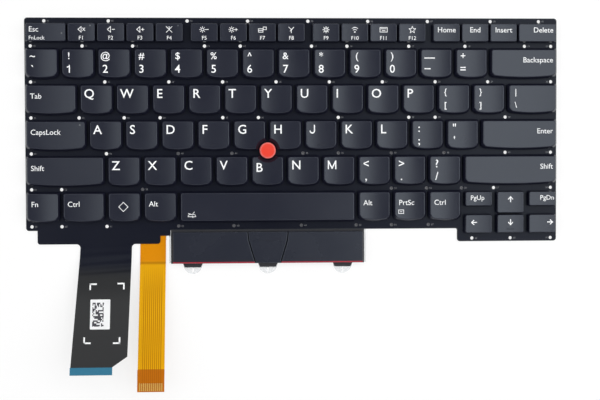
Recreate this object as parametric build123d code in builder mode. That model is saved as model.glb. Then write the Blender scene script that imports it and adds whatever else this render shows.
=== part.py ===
from build123d import *
import os
from collections import namedtuple
from functools import lru_cache
from math import atan, cos, degrees, radians, sin

# Key grid, all sizes in millimetres
key_pitch = 19.05
key_gap = 3.15
key_depth = 14.5
key_bow = 1.0
back_corner = 1.0
front_corner = 2.4
right_shift_width = 48.75
tab_pitches = 1.5
caps_lock_pitches = 1.75
left_shift_pitches = 2.25
left_ctrl_pitches = 1.25
space_pitches = 5

# Keycaps
cap_height = 2.2
cap_roof = 1.0
cap_wall = 1.0
cap_flare = 1.0
cap_edge = 0.35
dish_depth = 0.3
least_corner = 0.2
key_travel = 1.8
bottoming_gap = 0.25

# Low keys of the function row and the cursor block
function_depth = 9.3
function_width = 14.1
escape_width = 20.6
function_gap = 1.3
group_gap = 4.4
low_flare = 0.4
low_corner = 0.8
low_dish = 0.12
page_depth = 7.4
up_depth = 11.2
cursor_depth = 9.5
cursor_gap = 1.2

# Sheets of the stack, from the underside up
sheet_thickness = 0.4
plate_thickness = 0.4
film_thickness = 0.25
sheet_inset = 0.3
film_inset = 0.3

# Plate margins around the keys
side_margin = 1.45
back_margin = 3.4
function_row_gap = 4.5
front_margin = 5.2
block_side_margin = 4.0
block_front_margin = 4.85
plate_corner = 1.6
notch_corner = 1.0

# Fixing holes
hole_radius = 0.9
hole_side_inset = 3.1
hole_back_inset = 1.7
hole_front_inset = 2.2
hole_setback = 2.2

# Domes and scissor links under the keys
dome_foot_radius = 2.6
dome_head_radius = 1.5
dome_slip = 0.05
dome_root = 0.2
link_length = 10.0
link_width = 11.4
short_link_length = 7.6
short_link_width = 9.4
link_bar = 1.0
link_thickness = 0.7
link_slip = 0.3
pivot_radius = 0.3

# Pointing stick
stick_pitches = 5.25
stick_setback = 15.4
stick_cap_radius = 4.3
stick_cap_height = 3.2
stick_cap_proud = 0.7
stick_cap_edge = 0.7
stick_cap_dish = 0.2
stick_cut_top = 6.8
stick_cut_bottom = 5.0
stick_post_width = 2.4
stick_post_slip = 0.05
stick_socket_depth = 2.2
stick_flange_radius = 4.0
stick_flange_thickness = 0.5

# Front flap of the film and its tail
flap_inset = 6.0
flap_cover = 10.6
flap_depth = 7.25
flap_step_depth = 3.0
flap_corner = 1.4
tail_gap = 4.5
tail_width = 27.2
tail_lean = 4.2
tail_end_width = 22.0
tail_shoulder_width = 29.7
tail_shoulder_length = 5.2
tail_corner = 2.0
tail_lead = 3.0
tail_bend_radius = 24.0
tail_bend_angle = 18.5
tail_run = 59.5
stiffener_length = 4.0
stiffener_thickness = 0.2

# Backlight ribbon
ribbon_gap = 1.65
ribbon_width = 13.6
ribbon_thickness = 0.15
ribbon_lean = 1.4
ribbon_end_width = 14.2
ribbon_tongue_depth = 5.4
ribbon_tongue_margin = 0.4
ribbon_lead = 4.0
ribbon_bend_radius = 26.0
ribbon_bend_angle = 12.5
ribbon_run = 69.0
contact_length = 11.5
contact_thickness = 0.2

# Button module
module_width = 101.6
module_gap = 1.0
button_depth = 16.75
button_top = 4.6
button_lip = 2.2
button_skin = 1.0
button_edge = 0.4
button_corner = 0.6
button_gap = 0.4
middle_back_width = 21.2
middle_shoulder_width = 20.2
middle_shoulder_depth = 4.7
middle_front_width = 13.0
dot_count = 14
dot_radius = 0.3
dot_spacing = 1.25
hinge_setback = 2.2
hinge_height = 2.3
hinge_radius = 0.6
hinge_slip = 0.05
rod_inset = 2.0
ear_width = 1.6
ear_wall = 0.25
ear_inset = 1.0
lug_width = 3.0
lug_gap = 1.0
plunger_radius = 1.2
plunger_setback = 11.5
button_dome_height = 1.6
frame_floor = 0.65
frame_margin = 1.0
frame_front_margin = 0.3
tab_spacing = 40.2
tab_width = 10.5
tab_tip_width = 8.4
tab_depth = 2.0
bracket_margin = 2.0
bracket_tuck = 5.5
bracket_gap = 0.3
tongue_radius = 5.0
tongue_setback = 0.9
slot_length = 2.4
slot_width = 0.9
slot_setback = 3.9

# Heights of the stack
plate_bottom = sheet_thickness
film_bottom = plate_bottom + plate_thickness
film_top = film_bottom + film_thickness
skirt_bottom = film_top + key_travel + bottoming_gap
cap_top = skirt_bottom + cap_height
hollow_height = cap_height - cap_roof
ceiling = skirt_bottom + hollow_height
frame_top = sheet_thickness + frame_floor

# Ends of the key field and of the plate, with the origin in the middle of the plate
letter_keys = 10
field_width = (left_shift_pitches + letter_keys) * key_pitch + right_shift_width
field_right = field_width / 2
field_left = -field_right
plate_right = field_right + side_margin
plate_left = -plate_right
plate_depth = back_margin + function_depth + function_row_gap + 4 * key_pitch + key_depth + front_margin
plate_back = plate_depth / 2
plate_front = -plate_back

# Back edges of the key rows, from the function row forwards
function_back = plate_back - back_margin
number_back = function_back - function_depth - function_row_gap
upper_back = number_back - key_pitch
home_back = upper_back - key_pitch
lower_back = home_back - key_pitch
bottom_back = lower_back - key_pitch
cursor_back = bottom_back - up_depth - cursor_gap

# Block of the plate that carries the cursor keys
cursor_left = field_right - right_shift_width
block_left = cursor_left - block_side_margin
block_front = cursor_back - cursor_depth - block_front_margin

# Column of the digit one key, from which the other columns are counted
first_column = field_left + key_pitch + (key_pitch - key_gap) / 2
stick_x = first_column + stick_pitches * key_pitch
stick_y = home_back - stick_setback

# Button module, centred under the pointing stick
module_left = stick_x - module_width / 2
module_right = stick_x + module_width / 2
button_back = plate_front - module_gap
button_front = button_back - button_depth
hinge_y = button_back - hinge_setback
plunger_y = button_back - plunger_setback
tab_columns = [stick_x - tab_spacing, stick_x, stick_x + tab_spacing]
bracket_left = module_left - bracket_margin
bracket_right = module_right + bracket_margin

# Front flap, tail and backlight ribbon
ribbon_left = bracket_left - ribbon_gap - ribbon_width
ribbon_back = plate_front - module_gap
tail_left = ribbon_left - tail_gap - tail_width
flap_left = plate_left + flap_inset
flap_right = ribbon_left + flap_cover
flap_front = plate_front - flap_depth
flap_step_right = module_left - frame_margin - bracket_gap

# Scissor links near the pointing stick are short, and shifted away from it
stick_neighbours = {"g": (-1.2, 1.5), "h": (1.2, 1.5), "b": (0, -2.0)}

# A key has a name, the middle of its top from above, and a shape that keys of one size share
Shape = namedtuple("Shape", "width depth bow corner flare dish")
Key = namedtuple("Key", "name x y shape")
width_digits = 6


def full_key(name, left, right, back):
    """Key of a full row, between two sides and forwards of its back edge."""
    width = round(right - left, width_digits)
    shape = Shape(width, key_depth, key_bow, front_corner, cap_flare, dish_depth)
    return Key(name, (left + right) / 2, back - key_depth / 2, shape)


def space_key(left, right, back):
    """Space bar, flat on top and straight along its front."""
    shape = Shape(right - left, key_depth, 0, back_corner, cap_flare, 0)
    return Key("space", (left + right) / 2, back - key_depth / 2, shape)


def low_key(name, left, right, back, depth):
    """Small key with steep sides and a straight front."""
    shape = Shape(round(right - left, width_digits), depth, 0, low_corner, low_flare, low_dish)
    return Key(name, (left + right) / 2, back - depth / 2, shape)


def full_row(names, first_pitches, back):
    """Keys side by side from the left end of the field; the last one fills up to the right end."""
    row = []
    left = field_left
    for name in names:
        pitches = first_pitches if name == names[0] else 1
        right = field_right if name == names[-1] else left + pitches * key_pitch - key_gap
        row.append(full_key(name, left, right, back))
        left = right + key_gap
    return row


def bottom_row():
    """Modifier keys and the space bar, up to the cursor block."""
    widths = [
        ("fn", 1), ("left_ctrl", left_ctrl_pitches), ("system", 1), ("left_alt", 1),
        ("space", space_pitches), ("right_alt", 1), ("print_screen", 1), ("right_ctrl", 1),
    ]
    row = []
    left = field_left
    for name, pitches in widths:
        right = left + pitches * key_pitch - key_gap
        if name == "space":
            row.append(space_key(left, right, bottom_back))
        else:
            row.append(full_key(name, left, right, bottom_back))
        left = right + key_gap
    return row


def cursor_block():
    """Cursor keys in three columns, with the two page keys over the side arrows."""
    width = (right_shift_width - 2 * key_gap) / 3
    rows = [
        (("page_up", page_depth), ("up", up_depth), ("page_down", page_depth), bottom_back),
        (("left", cursor_depth), ("down", cursor_depth), ("right", cursor_depth), cursor_back),
    ]
    block = []
    for *columns, back in rows:
        left = cursor_left
        for name, depth in columns:
            block.append(low_key(name, left, left + width, back, depth))
            left += width + key_gap
    return block


def function_row():
    """Escape and the function keys in four groups; the last key fills up to the right end."""
    groups = [
        ["escape", "f1", "f2", "f3", "f4"],
        ["f5", "f6", "f7", "f8"],
        ["f9", "f10", "f11", "f12"],
        ["home", "end", "insert", "delete"],
    ]
    row = []
    left = field_left
    for group in groups:
        for name in group:
            width = escape_width if name == "escape" else function_width
            right = field_right if name == "delete" else left + width
            row.append(low_key(name, left, right, function_back, function_depth))
            left = right + function_gap
        left += group_gap - function_gap
    return row


def hole_places():
    """Middles of the fixing holes, with their columns in key pitches from the digit one key."""
    left = plate_left + hole_side_inset
    right = plate_right - hole_side_inset
    rows = [
        (plate_back - hole_back_inset, [], [-0.95, 0.83, 3.02, 4.71, 6.4, 8.09, 9.78, 11.57, 12.95]),
        (number_back + hole_setback, [left, right], [0.1, 1.5, 3.5, 4.5, 6.5, 7.5, 9.25, 10.85, 12.55]),
        (upper_back + hole_setback, [left, right], [0.72, 2.5, 4, 5.5, 7, 8.5, 10, 11.5]),
        (home_back + hole_setback, [left], [0, 1.25, 2.25, 4, 5, 7.25, 9.25, 10, 12]),
        (lower_back + hole_setback, [left, right], [0.75, 2.75, 4.25, 6.25, 7.25, 8.75, 10.25, 12]),
        (bottom_back + hole_setback, [left, right], [-0.5, 1.75, 8.75, 9.75, 10.75, 11.67]),
        (plate_front + hole_front_inset, [left], [-0.5, 0.75, 2.75, 4.3, 6.2, 7.75, 8.75, 9.8]),
        (block_front + hole_back_inset, [right], [11.05, 12.15]),
    ]
    places = []
    for y, ends, columns in rows:
        places += [(x, y) for x in ends]
        places += [(first_column + column * key_pitch, y) for column in columns]
    return places


def plate_plan(inset):
    """Outline of the plate from above: a rectangle with a block at its right for the cursor keys."""
    notch = (block_left + inset, plate_front + inset)
    with BuildSketch() as plan:
        with BuildLine():
            Polyline(
                (plate_left + inset, plate_back - inset),
                (plate_right - inset, plate_back - inset),
                (plate_right - inset, block_front + inset),
                (block_left + inset, block_front + inset),
                notch,
                (plate_left + inset, plate_front + inset),
                close=True,
            )
        make_face()
        fillet(plan.vertices().sort_by_distance(notch)[1:], plate_corner)
        fillet(plan.vertices().sort_by_distance(notch)[0], notch_corner)
    return plan.sketch


def run_end(start, height, lead, radius, angle, run):
    """Y and Z of the end of a strip's underside that leads flat, bends upwards and runs on straight."""
    turn = radians(angle)
    y = start - lead - radius * sin(turn) - run * cos(turn)
    z = height + radius * (1 - cos(turn)) + run * sin(turn)
    return y, z


def end_plane(x, end, angle, setback, lift):
    """Plane on a strip's run, set back from its end and lifted off its underside."""
    turn = radians(angle)
    y = end[0] + setback * cos(turn) + lift * sin(turn)
    z = end[1] - setback * sin(turn) + lift * cos(turn)
    return Plane((x, y, z), x_dir=(1, 0, 0), z_dir=(0, sin(turn), cos(turn)))


def cap_plan(shape, grow):
    """Outline of a key from above, with a straight back and a bowed front, grown all round."""
    half = shape.width / 2 + grow
    back = shape.depth / 2 + grow
    front = -back
    side = front + shape.bow
    with BuildSketch() as plan:
        with BuildLine():
            Polyline((half, side), (half, back), (-half, back), (-half, side))
            if shape.bow > 0:
                ThreePointArc((-half, side), (0, front), (half, side))
            else:
                Line((-half, side), (half, side))
        make_face()
        fillet(plan.vertices().group_by(Axis.Y)[-1], max(back_corner + grow, least_corner))
        fillet(plan.vertices().group_by(Axis.Y)[0], max(shape.corner + grow, least_corner))
    return plan.sketch


@lru_cache(maxsize=None)
def keycap(shape, stick=None):
    """Hollow keycap with a drafted skirt and a dished top, cut away beside the pointing stick."""
    skirt_plan = cap_plan(shape, shape.flare)
    hollow_plan = cap_plan(shape, shape.flare - cap_wall)
    draft = degrees(atan(shape.flare / cap_height))
    with BuildPart() as cap:
        with BuildSketch():
            add(skirt_plan)
        extrude(amount=cap_height, taper=draft)
        if shape.dish > 0:
            dish_radius = shape.width ** 2 / (8 * shape.dish) + shape.dish / 2
            with Locations((0, 0, cap_height - shape.dish + dish_radius)):
                Cylinder(dish_radius, 2 * shape.depth, rotation=(90, 0, 0), mode=Mode.SUBTRACT)
        fillet(cap.faces().sort_by(Axis.Z)[-1].edges(), cap_edge)
        with BuildSketch():
            add(hollow_plan)
            if stick:
                with Locations(stick):
                    Circle(stick_cut_top, mode=Mode.SUBTRACT)
        extrude(amount=hollow_height, taper=draft, mode=Mode.SUBTRACT)
        if stick:
            with Locations((*stick, cap_height / 2)):
                Cone(stick_cut_bottom, stick_cut_top, cap_height, mode=Mode.SUBTRACT)
    return cap.part


@lru_cache(maxsize=None)
def fixed_key(shape):
    """Keycap in one piece with the dome that carries it."""
    cap = keycap(shape)
    dome_bottom = film_top - skirt_bottom
    height = hollow_height + dome_root - dome_bottom
    with BuildPart() as fused:
        add(cap)
        with Locations((0, 0, dome_bottom + height / 2)):
            Cone(dome_foot_radius, dome_head_radius, height)
    return fused.part


def seated(blank, key):
    """A finished cap moved to its key's place over the plate."""
    return blank.moved(Location((key.x, key.y, skirt_bottom)))


def link_frame(length, width, way):
    """Open frame that slopes from the film at one end up to the keycap at the other."""
    low = film_top
    high = ceiling - dome_slip
    reach = way * length / 2
    with BuildPart() as frame:
        with BuildSketch(Plane.YZ):
            with BuildLine():
                Polyline(
                    (-reach, low),
                    (reach, high - link_thickness),
                    (reach, high),
                    (-reach, low + link_thickness),
                    close=True,
                )
            make_face()
        extrude(amount=width / 2, both=True)
        with BuildSketch(Plane.XY.offset(low)):
            Rectangle(width - 2 * link_bar, length - 2 * link_bar)
        extrude(amount=high - low, mode=Mode.SUBTRACT)
    return frame.part


def scissor_link(length, width):
    """Two link frames that cross, one inside the other, joined by the pivots between them."""
    outer = link_frame(length, width, 1)
    inner = link_frame(length, width - 2 * link_bar - 2 * link_slip, -1)
    pivot_x = width / 2 - link_bar - link_slip / 2
    with BuildPart() as link:
        add(outer)
        add(inner)
        with Locations(*[(x, 0, (film_top + ceiling - dome_slip) / 2) for x in (-pivot_x, pivot_x)]):
            Cylinder(pivot_radius, link_slip + link_bar, rotation=(0, 90, 0))
    return link.part


def middle_plan(grow):
    """Outline of the middle button, which narrows towards its front, grown all round."""
    with BuildSketch() as plan:
        with BuildLine():
            Polyline(
                (stick_x - middle_back_width / 2, button_back),
                (stick_x + middle_back_width / 2, button_back),
                (stick_x + middle_shoulder_width / 2, button_back - middle_shoulder_depth),
                (stick_x + middle_front_width / 2, button_front),
                (stick_x - middle_front_width / 2, button_front),
                (stick_x - middle_shoulder_width / 2, button_back - middle_shoulder_depth),
                close=True,
            )
        make_face()
        offset(amount=grow, kind=Kind.INTERSECTION)
    return plan.sketch


def side_plan(outer, shrink):
    """Outline of a side button, from an outer side of the module up to the middle button."""
    middle = middle_plan(button_gap + shrink)
    width = abs(outer - stick_x) - shrink
    inward = 1 if outer < stick_x else -1
    centre = (outer + inward * (shrink + width / 2), button_back - button_depth / 2)
    with BuildSketch() as plan:
        with Locations(centre):
            Rectangle(width, button_depth - 2 * shrink)
        add(middle, mode=Mode.SUBTRACT)
    return plan.sketch


def hinge_rod(left, right):
    """Ends of a button's hinge rod, and the columns of its ears and lugs, between the button's sides."""
    rod = (left + rod_inset, right - rod_inset)
    ears = [rod[0] + ear_inset + ear_width / 2, rod[1] - ear_inset - ear_width / 2]
    step = ear_width / 2 + lug_gap + lug_width / 2
    return rod, ears, [ears[0] + step, ears[1] - step]


def button(plan, hollow, left, right, plunger_x):
    """Button shell with a hinge rod under its back edge, lugs that hold the rod, and a plunger."""
    rod, ears, lugs = hinge_rod(left, right)
    underside = button_top - button_skin
    plunger_bottom = frame_top + button_dome_height + dome_slip
    with BuildPart() as shell:
        with BuildSketch(Plane.XY.offset(button_lip)):
            add(plan)
        extrude(amount=button_top - button_lip)
        fillet(shell.faces().sort_by(Axis.Z)[-1].edges(), button_edge)
        with BuildSketch(Plane.XY.offset(button_lip)):
            add(hollow)
        extrude(amount=underside - button_lip, mode=Mode.SUBTRACT)
        with Locations(((rod[0] + rod[1]) / 2, hinge_y, hinge_height)):
            Cylinder(hinge_radius, rod[1] - rod[0], rotation=(0, 90, 0))
        with BuildSketch(Plane.XY.offset(hinge_height)):
            with Locations(*[(x, hinge_y) for x in lugs]):
                Rectangle(lug_width, 2 * hinge_radius)
        extrude(amount=underside - hinge_height)
        with BuildSketch(Plane.XY.offset(plunger_bottom)):
            with Locations((plunger_x, plunger_y)):
                Circle(plunger_radius)
        extrude(amount=underside - plunger_bottom)
    return shell.part


# All keys, sorted into those that travel and those in one piece with their domes
number_names = ["backquote", *"1234567890", "minus", "equal", "backspace"]
upper_names = ["tab", *"qwertyuiop", "left_bracket", "right_bracket", "backslash"]
home_names = ["caps_lock", *"asdfghjkl", "semicolon", "quote", "enter"]
lower_names = ["left_shift", *"zxcvbnm", "comma", "period", "slash", "right_shift"]
full_keys = full_row(number_names, 1, number_back)
full_keys += full_row(upper_names, tab_pitches, upper_back)
full_keys += full_row(home_names, caps_lock_pitches, home_back)
full_keys += full_row(lower_names, left_shift_pitches, lower_back)
full_keys += bottom_row()
wide_names = ["backspace", "tab", "caps_lock", "enter", "left_shift", "right_shift", "space"]
moving_keys = [key for key in full_keys if len(key.name) == 1 or key.name in wide_names]
control_keys = [key for key in full_keys if key not in moving_keys] + cursor_block()

os.makedirs("parts", exist_ok=True)

# Backlight sheet, with a tongue for its ribbon and a recess for the button bracket
sheet_plan = plate_plan(sheet_inset)
with BuildPart() as backlight_sheet:
    with BuildSketch():
        add(sheet_plan)
        with Locations((ribbon_left + ribbon_width / 2, plate_front)):
            Rectangle(ribbon_width + 2 * ribbon_tongue_margin, 2 * ribbon_tongue_depth)
        with Locations((stick_x, plate_front)):
            Rectangle(
                bracket_right - bracket_left + 2 * bracket_gap,
                2 * (bracket_tuck + bracket_gap),
                mode=Mode.SUBTRACT,
            )
        with Locations(*hole_places()):
            Circle(hole_radius, mode=Mode.SUBTRACT)
    extrude(amount=sheet_thickness)
backlight_sheet.part.label = "backlight_sheet"
export_step(backlight_sheet.part, "parts/backlight_sheet.step")

# Base plate
base_plan = plate_plan(0)
with BuildPart() as base_plate:
    with BuildSketch(Plane.XY.offset(plate_bottom)):
        add(base_plan)
        with Locations(*hole_places()):
            Circle(hole_radius, mode=Mode.SUBTRACT)
    extrude(amount=plate_thickness)
base_plate.part.label = "base_plate"
export_step(base_plate.part, "parts/base_plate.step")

# Membrane: one film with its front flap and the springy tail that bends upwards
tail_end = run_end(flap_front, film_bottom, tail_lead, tail_bend_radius, tail_bend_angle, tail_run)
tail_shoulder_y = tail_end[0] + stiffener_length + tail_shoulder_length
tail_end_left = tail_left - tail_lean
tail_end_right = tail_end_left + tail_end_width
film_plan = plate_plan(film_inset)
with BuildSketch() as front_plan:
    with BuildLine():
        Polyline(
            (flap_left, plate_front + plate_corner),
            (flap_left, flap_front),
            (tail_left, flap_front),
            (tail_end_left, tail_end[0]),
            (tail_end_right, tail_end[0]),
            (tail_end_right, tail_end[0] + stiffener_length),
            (tail_end_left + tail_shoulder_width, tail_shoulder_y),
            (tail_left + tail_width, flap_front),
            (flap_right, flap_front),
            (flap_right, plate_front - flap_step_depth),
            (flap_step_right, plate_front - flap_step_depth),
            (flap_step_right, plate_front + plate_corner),
            close=True,
        )
    make_face()
    tail_roots = [(tail_left, flap_front), (tail_left + tail_width, flap_front)]
    for root in tail_roots:
        fillet(front_plan.vertices().sort_by_distance(root)[0], tail_corner)
    for corner in [(flap_left, flap_front), (flap_right, flap_front)]:
        fillet(front_plan.vertices().sort_by_distance(corner)[0], flap_corner)
with BuildPart() as membrane:
    with BuildSketch(Plane.YZ):
        with BuildLine():
            level = Line((plate_back, film_bottom), (flap_front - tail_lead, film_bottom))
            bend = JernArc(level @ 1, level % 1, tail_bend_radius, -tail_bend_angle)
            PolarLine(bend @ 1, tail_run, direction=bend % 1)
            offset(amount=film_thickness, side=Side.RIGHT)
        make_face()
    extrude(amount=plate_right, both=True)
    with BuildSketch():
        add(film_plan)
        add(front_plan.sketch)
        with Locations(*hole_places()):
            Circle(hole_radius, mode=Mode.SUBTRACT)
    extrude(amount=tail_end[1] + tail_run, mode=Mode.INTERSECT)
membrane.part.label = "membrane"
export_step(membrane.part, "parts/membrane.step")

# Stiffener on the end of the tail
stiffener_seat = end_plane(
    (tail_end_left + tail_end_right) / 2, tail_end, tail_bend_angle, stiffener_length / 2, film_thickness
)
with BuildPart() as ribbon_stiffener:
    with BuildSketch(stiffener_seat):
        Rectangle(tail_end_width, stiffener_length)
    extrude(amount=stiffener_thickness)
ribbon_stiffener.part.label = "ribbon_stiffener"
export_step(ribbon_stiffener.part, "parts/ribbon_stiffener.step")

# Backlight ribbon, bonded on the sheet's tongue
ribbon_end = run_end(
    flap_front, sheet_thickness, ribbon_lead, ribbon_bend_radius, ribbon_bend_angle, ribbon_run
)
ribbon_end_left = ribbon_left - ribbon_lean
with BuildPart() as backlight_ribbon:
    with BuildSketch(Plane.YZ):
        with BuildLine():
            level = Line((ribbon_back, sheet_thickness), (flap_front - ribbon_lead, sheet_thickness))
            bend = JernArc(level @ 1, level % 1, ribbon_bend_radius, -ribbon_bend_angle)
            PolarLine(bend @ 1, ribbon_run, direction=bend % 1)
            offset(amount=ribbon_thickness, side=Side.RIGHT)
        make_face()
    extrude(amount=plate_right, both=True)
    with BuildSketch():
        with BuildLine():
            Polyline(
                (ribbon_left, ribbon_back),
                (ribbon_end_left, ribbon_end[0]),
                (ribbon_end_left + ribbon_end_width, ribbon_end[0]),
                (ribbon_left + ribbon_width, ribbon_back),
                close=True,
            )
        make_face()
    extrude(amount=ribbon_end[1] + ribbon_run, mode=Mode.INTERSECT)
backlight_ribbon.part.label = "backlight_ribbon"
export_step(backlight_ribbon.part, "parts/backlight_ribbon.step")

# Stiffener under the contacts of the backlight ribbon
contact_seat = end_plane(
    ribbon_end_left + ribbon_end_width / 2, ribbon_end, ribbon_bend_angle, contact_length / 2, 0
)
with BuildPart() as backlight_ribbon_stiffener:
    with BuildSketch(contact_seat):
        Rectangle(ribbon_end_width, contact_length)
    extrude(amount=-contact_thickness)
backlight_ribbon_stiffener.part.label = "backlight_ribbon_stiffener"
export_step(backlight_ribbon_stiffener.part, "parts/backlight_ribbon_stiffener.step")

# Button bracket: clear sheet tucked under the plate, with a half-round tongue at each tab
with BuildPart() as button_bracket:
    with BuildSketch():
        with Locations((stick_x, (plate_front + bracket_tuck + button_front) / 2)):
            Rectangle(bracket_right - bracket_left, plate_front + bracket_tuck - button_front)
        with Locations(*[(x, button_front - tongue_setback) for x in tab_columns]):
            Circle(tongue_radius)
        with Locations(*[(x, button_front - slot_setback) for x in tab_columns]):
            SlotOverall(slot_length, slot_width, rotation=90, mode=Mode.SUBTRACT)
        with Locations(*hole_places()):
            Circle(hole_radius, mode=Mode.SUBTRACT)
    extrude(amount=sheet_thickness)
button_bracket.part.label = "button_bracket"
export_step(button_bracket.part, "parts/button_bracket.step")

# Sides of each button along its back edge
middle_left = stick_x - middle_back_width / 2
middle_right = stick_x + middle_back_width / 2
button_sides = {
    "button_left": (module_left, middle_left - button_gap),
    "button_middle": (middle_left, middle_right),
    "button_right": (middle_right + button_gap, module_right),
}

# Button frame: tray with three front tabs, and ears that hold the hinge rods
ear_columns = [x for sides in button_sides.values() for x in hinge_rod(*sides)[1]]
ear_half = hinge_radius + hinge_slip + ear_wall
frame_front = button_front - frame_front_margin
with BuildPart() as button_frame:
    with BuildSketch(Plane.XY.offset(sheet_thickness)):
        with Locations((stick_x, (plate_front + frame_front) / 2)):
            Rectangle(module_width + 2 * frame_margin, plate_front - frame_front)
        for x in tab_columns:
            with BuildLine():
                Polyline(
                    (x - tab_width / 2, frame_front),
                    (x - tab_tip_width / 2, frame_front - tab_depth),
                    (x + tab_tip_width / 2, frame_front - tab_depth),
                    (x + tab_width / 2, frame_front),
                    close=True,
                )
            make_face()
    extrude(amount=frame_floor)
    with BuildSketch(Plane.XY.offset(frame_top)):
        with Locations(*[(x, hinge_y) for x in ear_columns]):
            Rectangle(ear_width, 2 * ear_half)
    extrude(amount=hinge_height + ear_half - frame_top)
    with Locations((stick_x, hinge_y, hinge_height)):
        Cylinder(hinge_radius + hinge_slip, module_width, rotation=(0, 90, 0), mode=Mode.SUBTRACT)
button_frame.part.label = "button_frame"
export_step(button_frame.part, "parts/button_frame.step")

# Side buttons
for name, outer, tab_x in [
    ("button_left", module_left, tab_columns[0]),
    ("button_right", module_right, tab_columns[2]),
]:
    side_button = button(side_plan(outer, 0), side_plan(outer, button_skin), *button_sides[name], tab_x)
    side_button.label = name
    export_step(side_button, f"parts/{name}.step")

# Middle button, with a row of raised dots across it
middle_blank = button(middle_plan(0), middle_plan(-button_skin), middle_left, middle_right, stick_x)
with BuildPart() as button_middle:
    add(middle_blank)
    with Locations((stick_x, button_back - middle_shoulder_depth, button_top)):
        with GridLocations(dot_spacing, dot_spacing, dot_count, 1):
            Sphere(dot_radius)
button_middle.part.label = "button_middle"
export_step(button_middle.part, "parts/button_middle.step")

# Pointing stick: a post on a flange, and the soft cap pressed on it
cap_bottom = cap_top + stick_cap_proud - stick_cap_height
post_top = cap_bottom + stick_socket_depth - stick_post_slip
with BuildPart() as stick_sensor:
    with BuildSketch(Plane((stick_x, stick_y, film_top))):
        Circle(stick_flange_radius)
    extrude(amount=stick_flange_thickness)
    with BuildSketch(Plane((stick_x, stick_y, film_top))):
        Rectangle(stick_post_width, stick_post_width)
    extrude(amount=post_top - film_top)
stick_sensor.part.label = "stick_sensor"
export_step(stick_sensor.part, "parts/stick_sensor.step")

dish_ball = stick_cap_radius ** 2 / (2 * stick_cap_dish)
with BuildPart() as stick_cap:
    with BuildSketch(Plane((stick_x, stick_y, cap_bottom))):
        Circle(stick_cap_radius)
    extrude(amount=stick_cap_height)
    fillet(stick_cap.faces().sort_by(Axis.Z)[-1].edges(), stick_cap_edge)
    with Locations((stick_x, stick_y, cap_bottom + stick_cap_height - stick_cap_dish + dish_ball)):
        Sphere(dish_ball, mode=Mode.SUBTRACT)
    with BuildSketch(Plane((stick_x, stick_y, cap_bottom))):
        Rectangle(stick_post_width + 2 * stick_post_slip, stick_post_width + 2 * stick_post_slip)
    extrude(amount=stick_socket_depth, mode=Mode.SUBTRACT)
stick_cap.part.label = "stick_cap"
export_step(stick_cap.part, "parts/stick_cap.step")

# Rubber domes under the keys that travel, and under the three buttons
dome_height = ceiling - dome_slip - film_top
long_places = [(key.x, key.y) for key in moving_keys if key.name not in stick_neighbours]
short_places = []
for key in moving_keys:
    if key.name in stick_neighbours:
        shift_x, shift_y = stick_neighbours[key.name]
        short_places.append((key.x + shift_x, key.y + shift_y))
with BuildPart() as rubber_domes:
    with Locations(*[(x, y, film_top + dome_height / 2) for x, y in long_places + short_places]):
        Cone(dome_foot_radius, dome_head_radius, dome_height)
    with Locations(*[(x, plunger_y, frame_top + button_dome_height / 2) for x in tab_columns]):
        Cone(dome_foot_radius, dome_head_radius, button_dome_height)
rubber_domes.part.label = "rubber_domes"
export_step(rubber_domes.part, "parts/rubber_domes.step")

# Scissor links around the domes
long_link = scissor_link(link_length, link_width)
short_link = scissor_link(short_link_length, short_link_width)
with BuildPart() as scissor_links:
    with Locations(*long_places):
        add(long_link)
    with Locations(*short_places):
        add(short_link)
scissor_links.part.label = "scissor_links"
export_step(scissor_links.part, "parts/scissor_links.step")

# Keys that travel, each its own piece
for key in moving_keys:
    stick = (stick_x - key.x, stick_y - key.y) if key.name in stick_neighbours else None
    cap = seated(keycap(key.shape, stick), key)
    cap.label = "key_" + key.name
    export_step(cap, f"parts/key_{key.name}.step")

# Keys in one piece with their domes
escape_to_delete = [seated(fixed_key(key.shape), key) for key in function_row()]
with BuildPart() as function_row_keys:
    add(escape_to_delete)
function_row_keys.part.label = "function_row_keys"
export_step(function_row_keys.part, "parts/function_row_keys.step")

symbols_and_cursors = [seated(fixed_key(key.shape), key) for key in control_keys]
with BuildPart() as control_row_keys:
    add(symbols_and_cursors)
control_row_keys.part.label = "control_keys"
export_step(control_row_keys.part, "parts/control_keys.step")
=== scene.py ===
"""Looks of a laptop keyboard module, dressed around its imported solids."""
import math
from collections import namedtuple
from functools import cache

import bmesh
import bpy
from bpy.props import FloatProperty, FloatVectorProperty, IntProperty, PointerProperty
from mathutils import Matrix, Vector


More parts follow.
